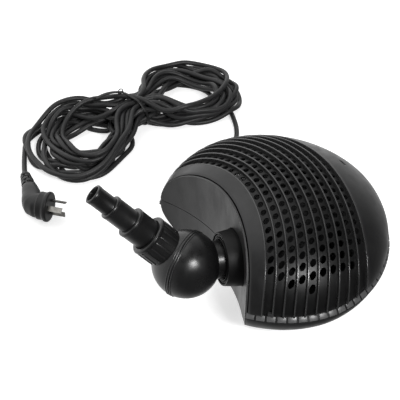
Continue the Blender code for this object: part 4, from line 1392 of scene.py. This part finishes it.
ballRadius, ballBore = outlet["ballRadius"], outlet["ballRadius"] - outlet["ballWall"]
flangeFront = neck["flangeBack"] + neck["flangeThick"]
neckEnd = 180 - sphereAngle(ballRadius, neck["radius"])
innerProfile = (circleArc(ballRadius, 0, neckEnd, 60, outlet["ballReach"])
                + [(neck["radius"], flangeFront + 0.0004), (neck["radius"], flangeFront),
                   (neck["flange"], flangeFront),
                   (neck["flange"], neck["flangeBack"]), (neck["bore"], neck["flangeBack"])]
                + circleArc(ballBore, 180 - sphereAngle(ballBore, neck["bore"]), 0, 40,
                            outlet["ballReach"]))
ballInner = turnedShape("ball_back", innerProfile, outletPoint, outletDirection, sideDirection,
                        fittingPlastic, 128, closed=False, smooth=30)
ballInner = cutAway(ballInner, halfBlock(True))
spigotStart = sphereAngle(ballRadius, spigot["radius"])
outerProfile = (circleArc(ballBore, 180, sphereAngle(ballBore, spigot["bore"]), 40)
                + [(spigot["bore"], spigot["end"]), (spigot["radius"], spigot["end"])]
                + circleArc(ballRadius, spigotStart, 180, 60))
ballOuter = turnedShape("ball_front", outerProfile, ballCentre, barbDirection, jointDirection,
                        fittingPlastic, 128, closed=False, smooth=30)
ballOuter = cutAway(ballOuter, halfBlock(False))
finishPiece(ballInner, "elbow_back", "fitting", "ball_inner_half")
finishPiece(ballOuter, "elbow_front", "fitting", "ball_outer_half")


def seamBead(name, height, proud, half):
    # a fine raised line round the ball, beside its joint
    top = math.sqrt(ballRadius ** 2 - height ** 2)
    profile = [(top - 0.0012, height + half), (top - 0.0012, height - half),
               (top + proud * 0.6, height - half),
               (top + proud, height - half * 0.4), (top + proud, height + half * 0.4),
               (top + proud * 0.6, height + half)]
    return turnedShape(name, profile, ballCentre, jointDirection, outletDirection, fittingPlastic, 160)


for name, height, body in (("seam_front_1", 0.0011, "elbow_front"), ("seam_front_2", 0.0035, "elbow_front"),
                           ("seam_back_1", -0.0013, "elbow_back")):
    finishPiece(seamBead(name, height, 0.0007, 0.00065), body, "fitting")
print("ball finished")

# hose barb and its nut
barbBack = spigot["end"] + outlet["gap"] * 2 + 0.0015
barbFlange = barbBack + 0.0028


def barbProfile():
    outer, start = [], barbFlange
    for end, radius in outlet["steps"]:
        outer = [(radius - 0.0007, end), (radius + 0.0001, end - 0.0004), (radius + 0.0003, end - 0.0009),
                 (radius + 0.0003, end - 0.0019), (radius - 0.0002, end - 0.0022),
                 (radius - 0.0002, end - 0.0026),
                 (radius + 0.0002, end - 0.0029), (radius + 0.0002, end - 0.0036),
                 (radius - 0.0001, end - 0.0041),
                 (radius - 0.0001, start + 0.0016), (radius, start)] + outer
        start = end
    ends, radii = zip(*outlet["steps"])
    bores = [radius - 0.0022 for radius in radii]
    inner = [(spigot["radius"], barbFlange), (spigot["radius"], barbBack), (spigot["bore"], barbBack),
             (spigot["bore"], ends[0] - 0.006), (bores[1], ends[0] - 0.002), (bores[1], ends[1] - 0.005),
             (bores[2], ends[1] - 0.002), (bores[2], ends[2] - 0.0006), (bores[2] + 0.0005, ends[2])]
    return outer + inner


barb = turnedShape("barb_body", barbProfile(), ballCentre, barbDirection, jointDirection, fittingPlastic,
                   112, smooth=50)
finishPiece(barb, "elbow_front", "fitting", "hose_barb")
nut = {"back": 0.0300, "front": 0.0533, "radius": 0.0209, "ribs": 18, "bore": 0.0176, "skirt": 0.0012,
       "ribSize": (0.0013, 0.0012), "ribShorter": 0.0046}
firstStep = outlet["steps"][0][1]
nutBody = turnedShape("nut_body", roundedProfile([
    (nut["radius"] - 0.0008, nut["front"]), (nut["radius"] + 0.0004, nut["front"] - 0.0012),
    (nut["radius"] + 0.0004, nut["front"] - 0.0032), (nut["radius"] - 0.0004, nut["front"] - 0.0040),
    (nut["radius"] - 0.0004, nut["back"] - nut["skirt"]),
    (nut["radius"] - 0.0016, nut["back"] - nut["skirt"]),
    (nut["bore"], nut["back"]),
    (nut["bore"], barbFlange + 0.0003), (firstStep + 0.0007, barbFlange + 0.0003),
    (firstStep + 0.0007, nut["front"])],
    0.0004), ballCentre, barbDirection, jointDirection, fittingPlastic, 112)
finishPiece(nutBody, "barb_nut", "fitting", "hose_nut")
nutRibs = aroundAxis("nut_ribs", ballCentre, barbDirection, jointDirection, nut["ribs"],
                     nut["radius"] - 0.0002, (nut["back"] + nut["front"]) / 2 - 0.0020)
width, height = nut["ribSize"]
nutRibs = runTree(nutRibs, stud, Length=nut["front"] - nut["back"] - nut["ribShorter"], Width=width,
                  Height=height, Finish=fittingPlastic)
nutRibs = roundEdges(nutRibs, 0.0004)
finishPiece(nutRibs, "barb_nut", "fitting")
print("barb and nut finished")

# finishes of the CAD pieces that show as they are
finishes = {
    cagePlastic: ("latch_near", "latch_far"),
    motorPlastic: ("pump_chamber", "intake_cover", "impeller", "motor_plate", "motor_housing",
                   "motor_cradle"),
    sealRubber: ("neck_seal", "ball_seal", "barb_gasket", "front_bush", "rear_bush", "motor_gland",
                 "cable_gland"),
    leadRubber: ("inner_lead",),
    steelFinish: ("motor_screw_1", "motor_screw_2", "motor_screw_3", "motor_screw_4"),
    ironSheets: ("stator_core",),
    copperWire: ("winding_upper", "winding_lower"),
    ceramicFinish: ("motor_shaft",),
    ferriteFinish: ("rotor_magnet",),
    pinFinish: ("plug_pin_live", "plug_pin_neutral", "plug_pin_earth"),
}
for finish, names in finishes.items():
    for name in names:
        for place in bpy.data.objects[name].material_slots:
            place.material = finish

# floor and light
studio = {
    "floorHalf": 30.0,
    "lampTarget": (-0.02, 0.05, 0.05),
    "glowFrom": (-0.30, 0.95, 0.0),    # the brighter side of the room
    "glow": (0.11, 1.35, -0.35, 0.75),           # strength low and high, and the range it runs over
    "floorWhite": 0.80,
    "floorGlow": 0.55,
    "soft": (
        # name, place, size, energy
        ("front_soft", (0.05, -1.35, 1.20), (0.55, 0.35), 26),
        ("top_soft", (-0.35, 0.45, 1.90), (1.80, 1.60), 9),
    ),
}
floorMat, floorShader = startMaterial("paperWhite", specular=0.1)
floorTone = blendColours(floorMat, scaledNoise(floorMat, 6), (studio["floorWhite"] - 0.01,) * 3,
                         (studio["floorWhite"],) * 3)
plugIn(floorMat, floorShader, "Base Color", floorTone)
floorShader.inputs["Roughness"].default_value = 0.9
floorShader.inputs["Emission Color"].default_value = (1, 1, 1, 1)
floorShader.inputs["Emission Strength"].default_value = studio["floorGlow"]
floorCorners = [(x * studio["floorHalf"], y * studio["floorHalf"], 0)
                for x, y in ((-1, -1), (1, -1), (1, 1), (-1, 1))]
floor = meshPiece("floor", floorCorners, [(0, 1, 2, 3)], floorMat, 30, 0)
floor.visible_glossy = False
for name, place, size, energy in studio["soft"]:
    data = bpy.data.lights.new(name, "AREA")
    data.shape = "RECTANGLE"
    data.size, data.size_y = size
    data.energy = energy
    lamp = bpy.data.objects.new(name, data)
    lamp.location = place
    lamp.rotation_euler = (Vector(studio["lampTarget"]) - Vector(place)).to_track_quat("-Z", "Y").to_euler()
    bpy.context.scene.collection.objects.link(lamp)

world = bpy.data.worlds.new("studio")
world.use_nodes = True
bpy.context.scene.world = world
background = world.node_tree.nodes["Background"]
direction = addNode(world, "ShaderNodeTexCoord").outputs["Generated"]
lean = addNode(world, "ShaderNodeVectorMath", {"operation": "DOT_PRODUCT"}, i0=direction,
               i1=studio["glowFrom"])
glow = spread(world, lean.outputs["Value"], *studio["glow"])
world.node_tree.links.new(glow, background.inputs["Strength"])
background.inputs["Color"].default_value = (1, 1, 1, 1)
bpy.context.scene.view_settings.view_transform = "Standard"
bpy.context.scene.view_settings.look = "None"
print("lights and floor ready")
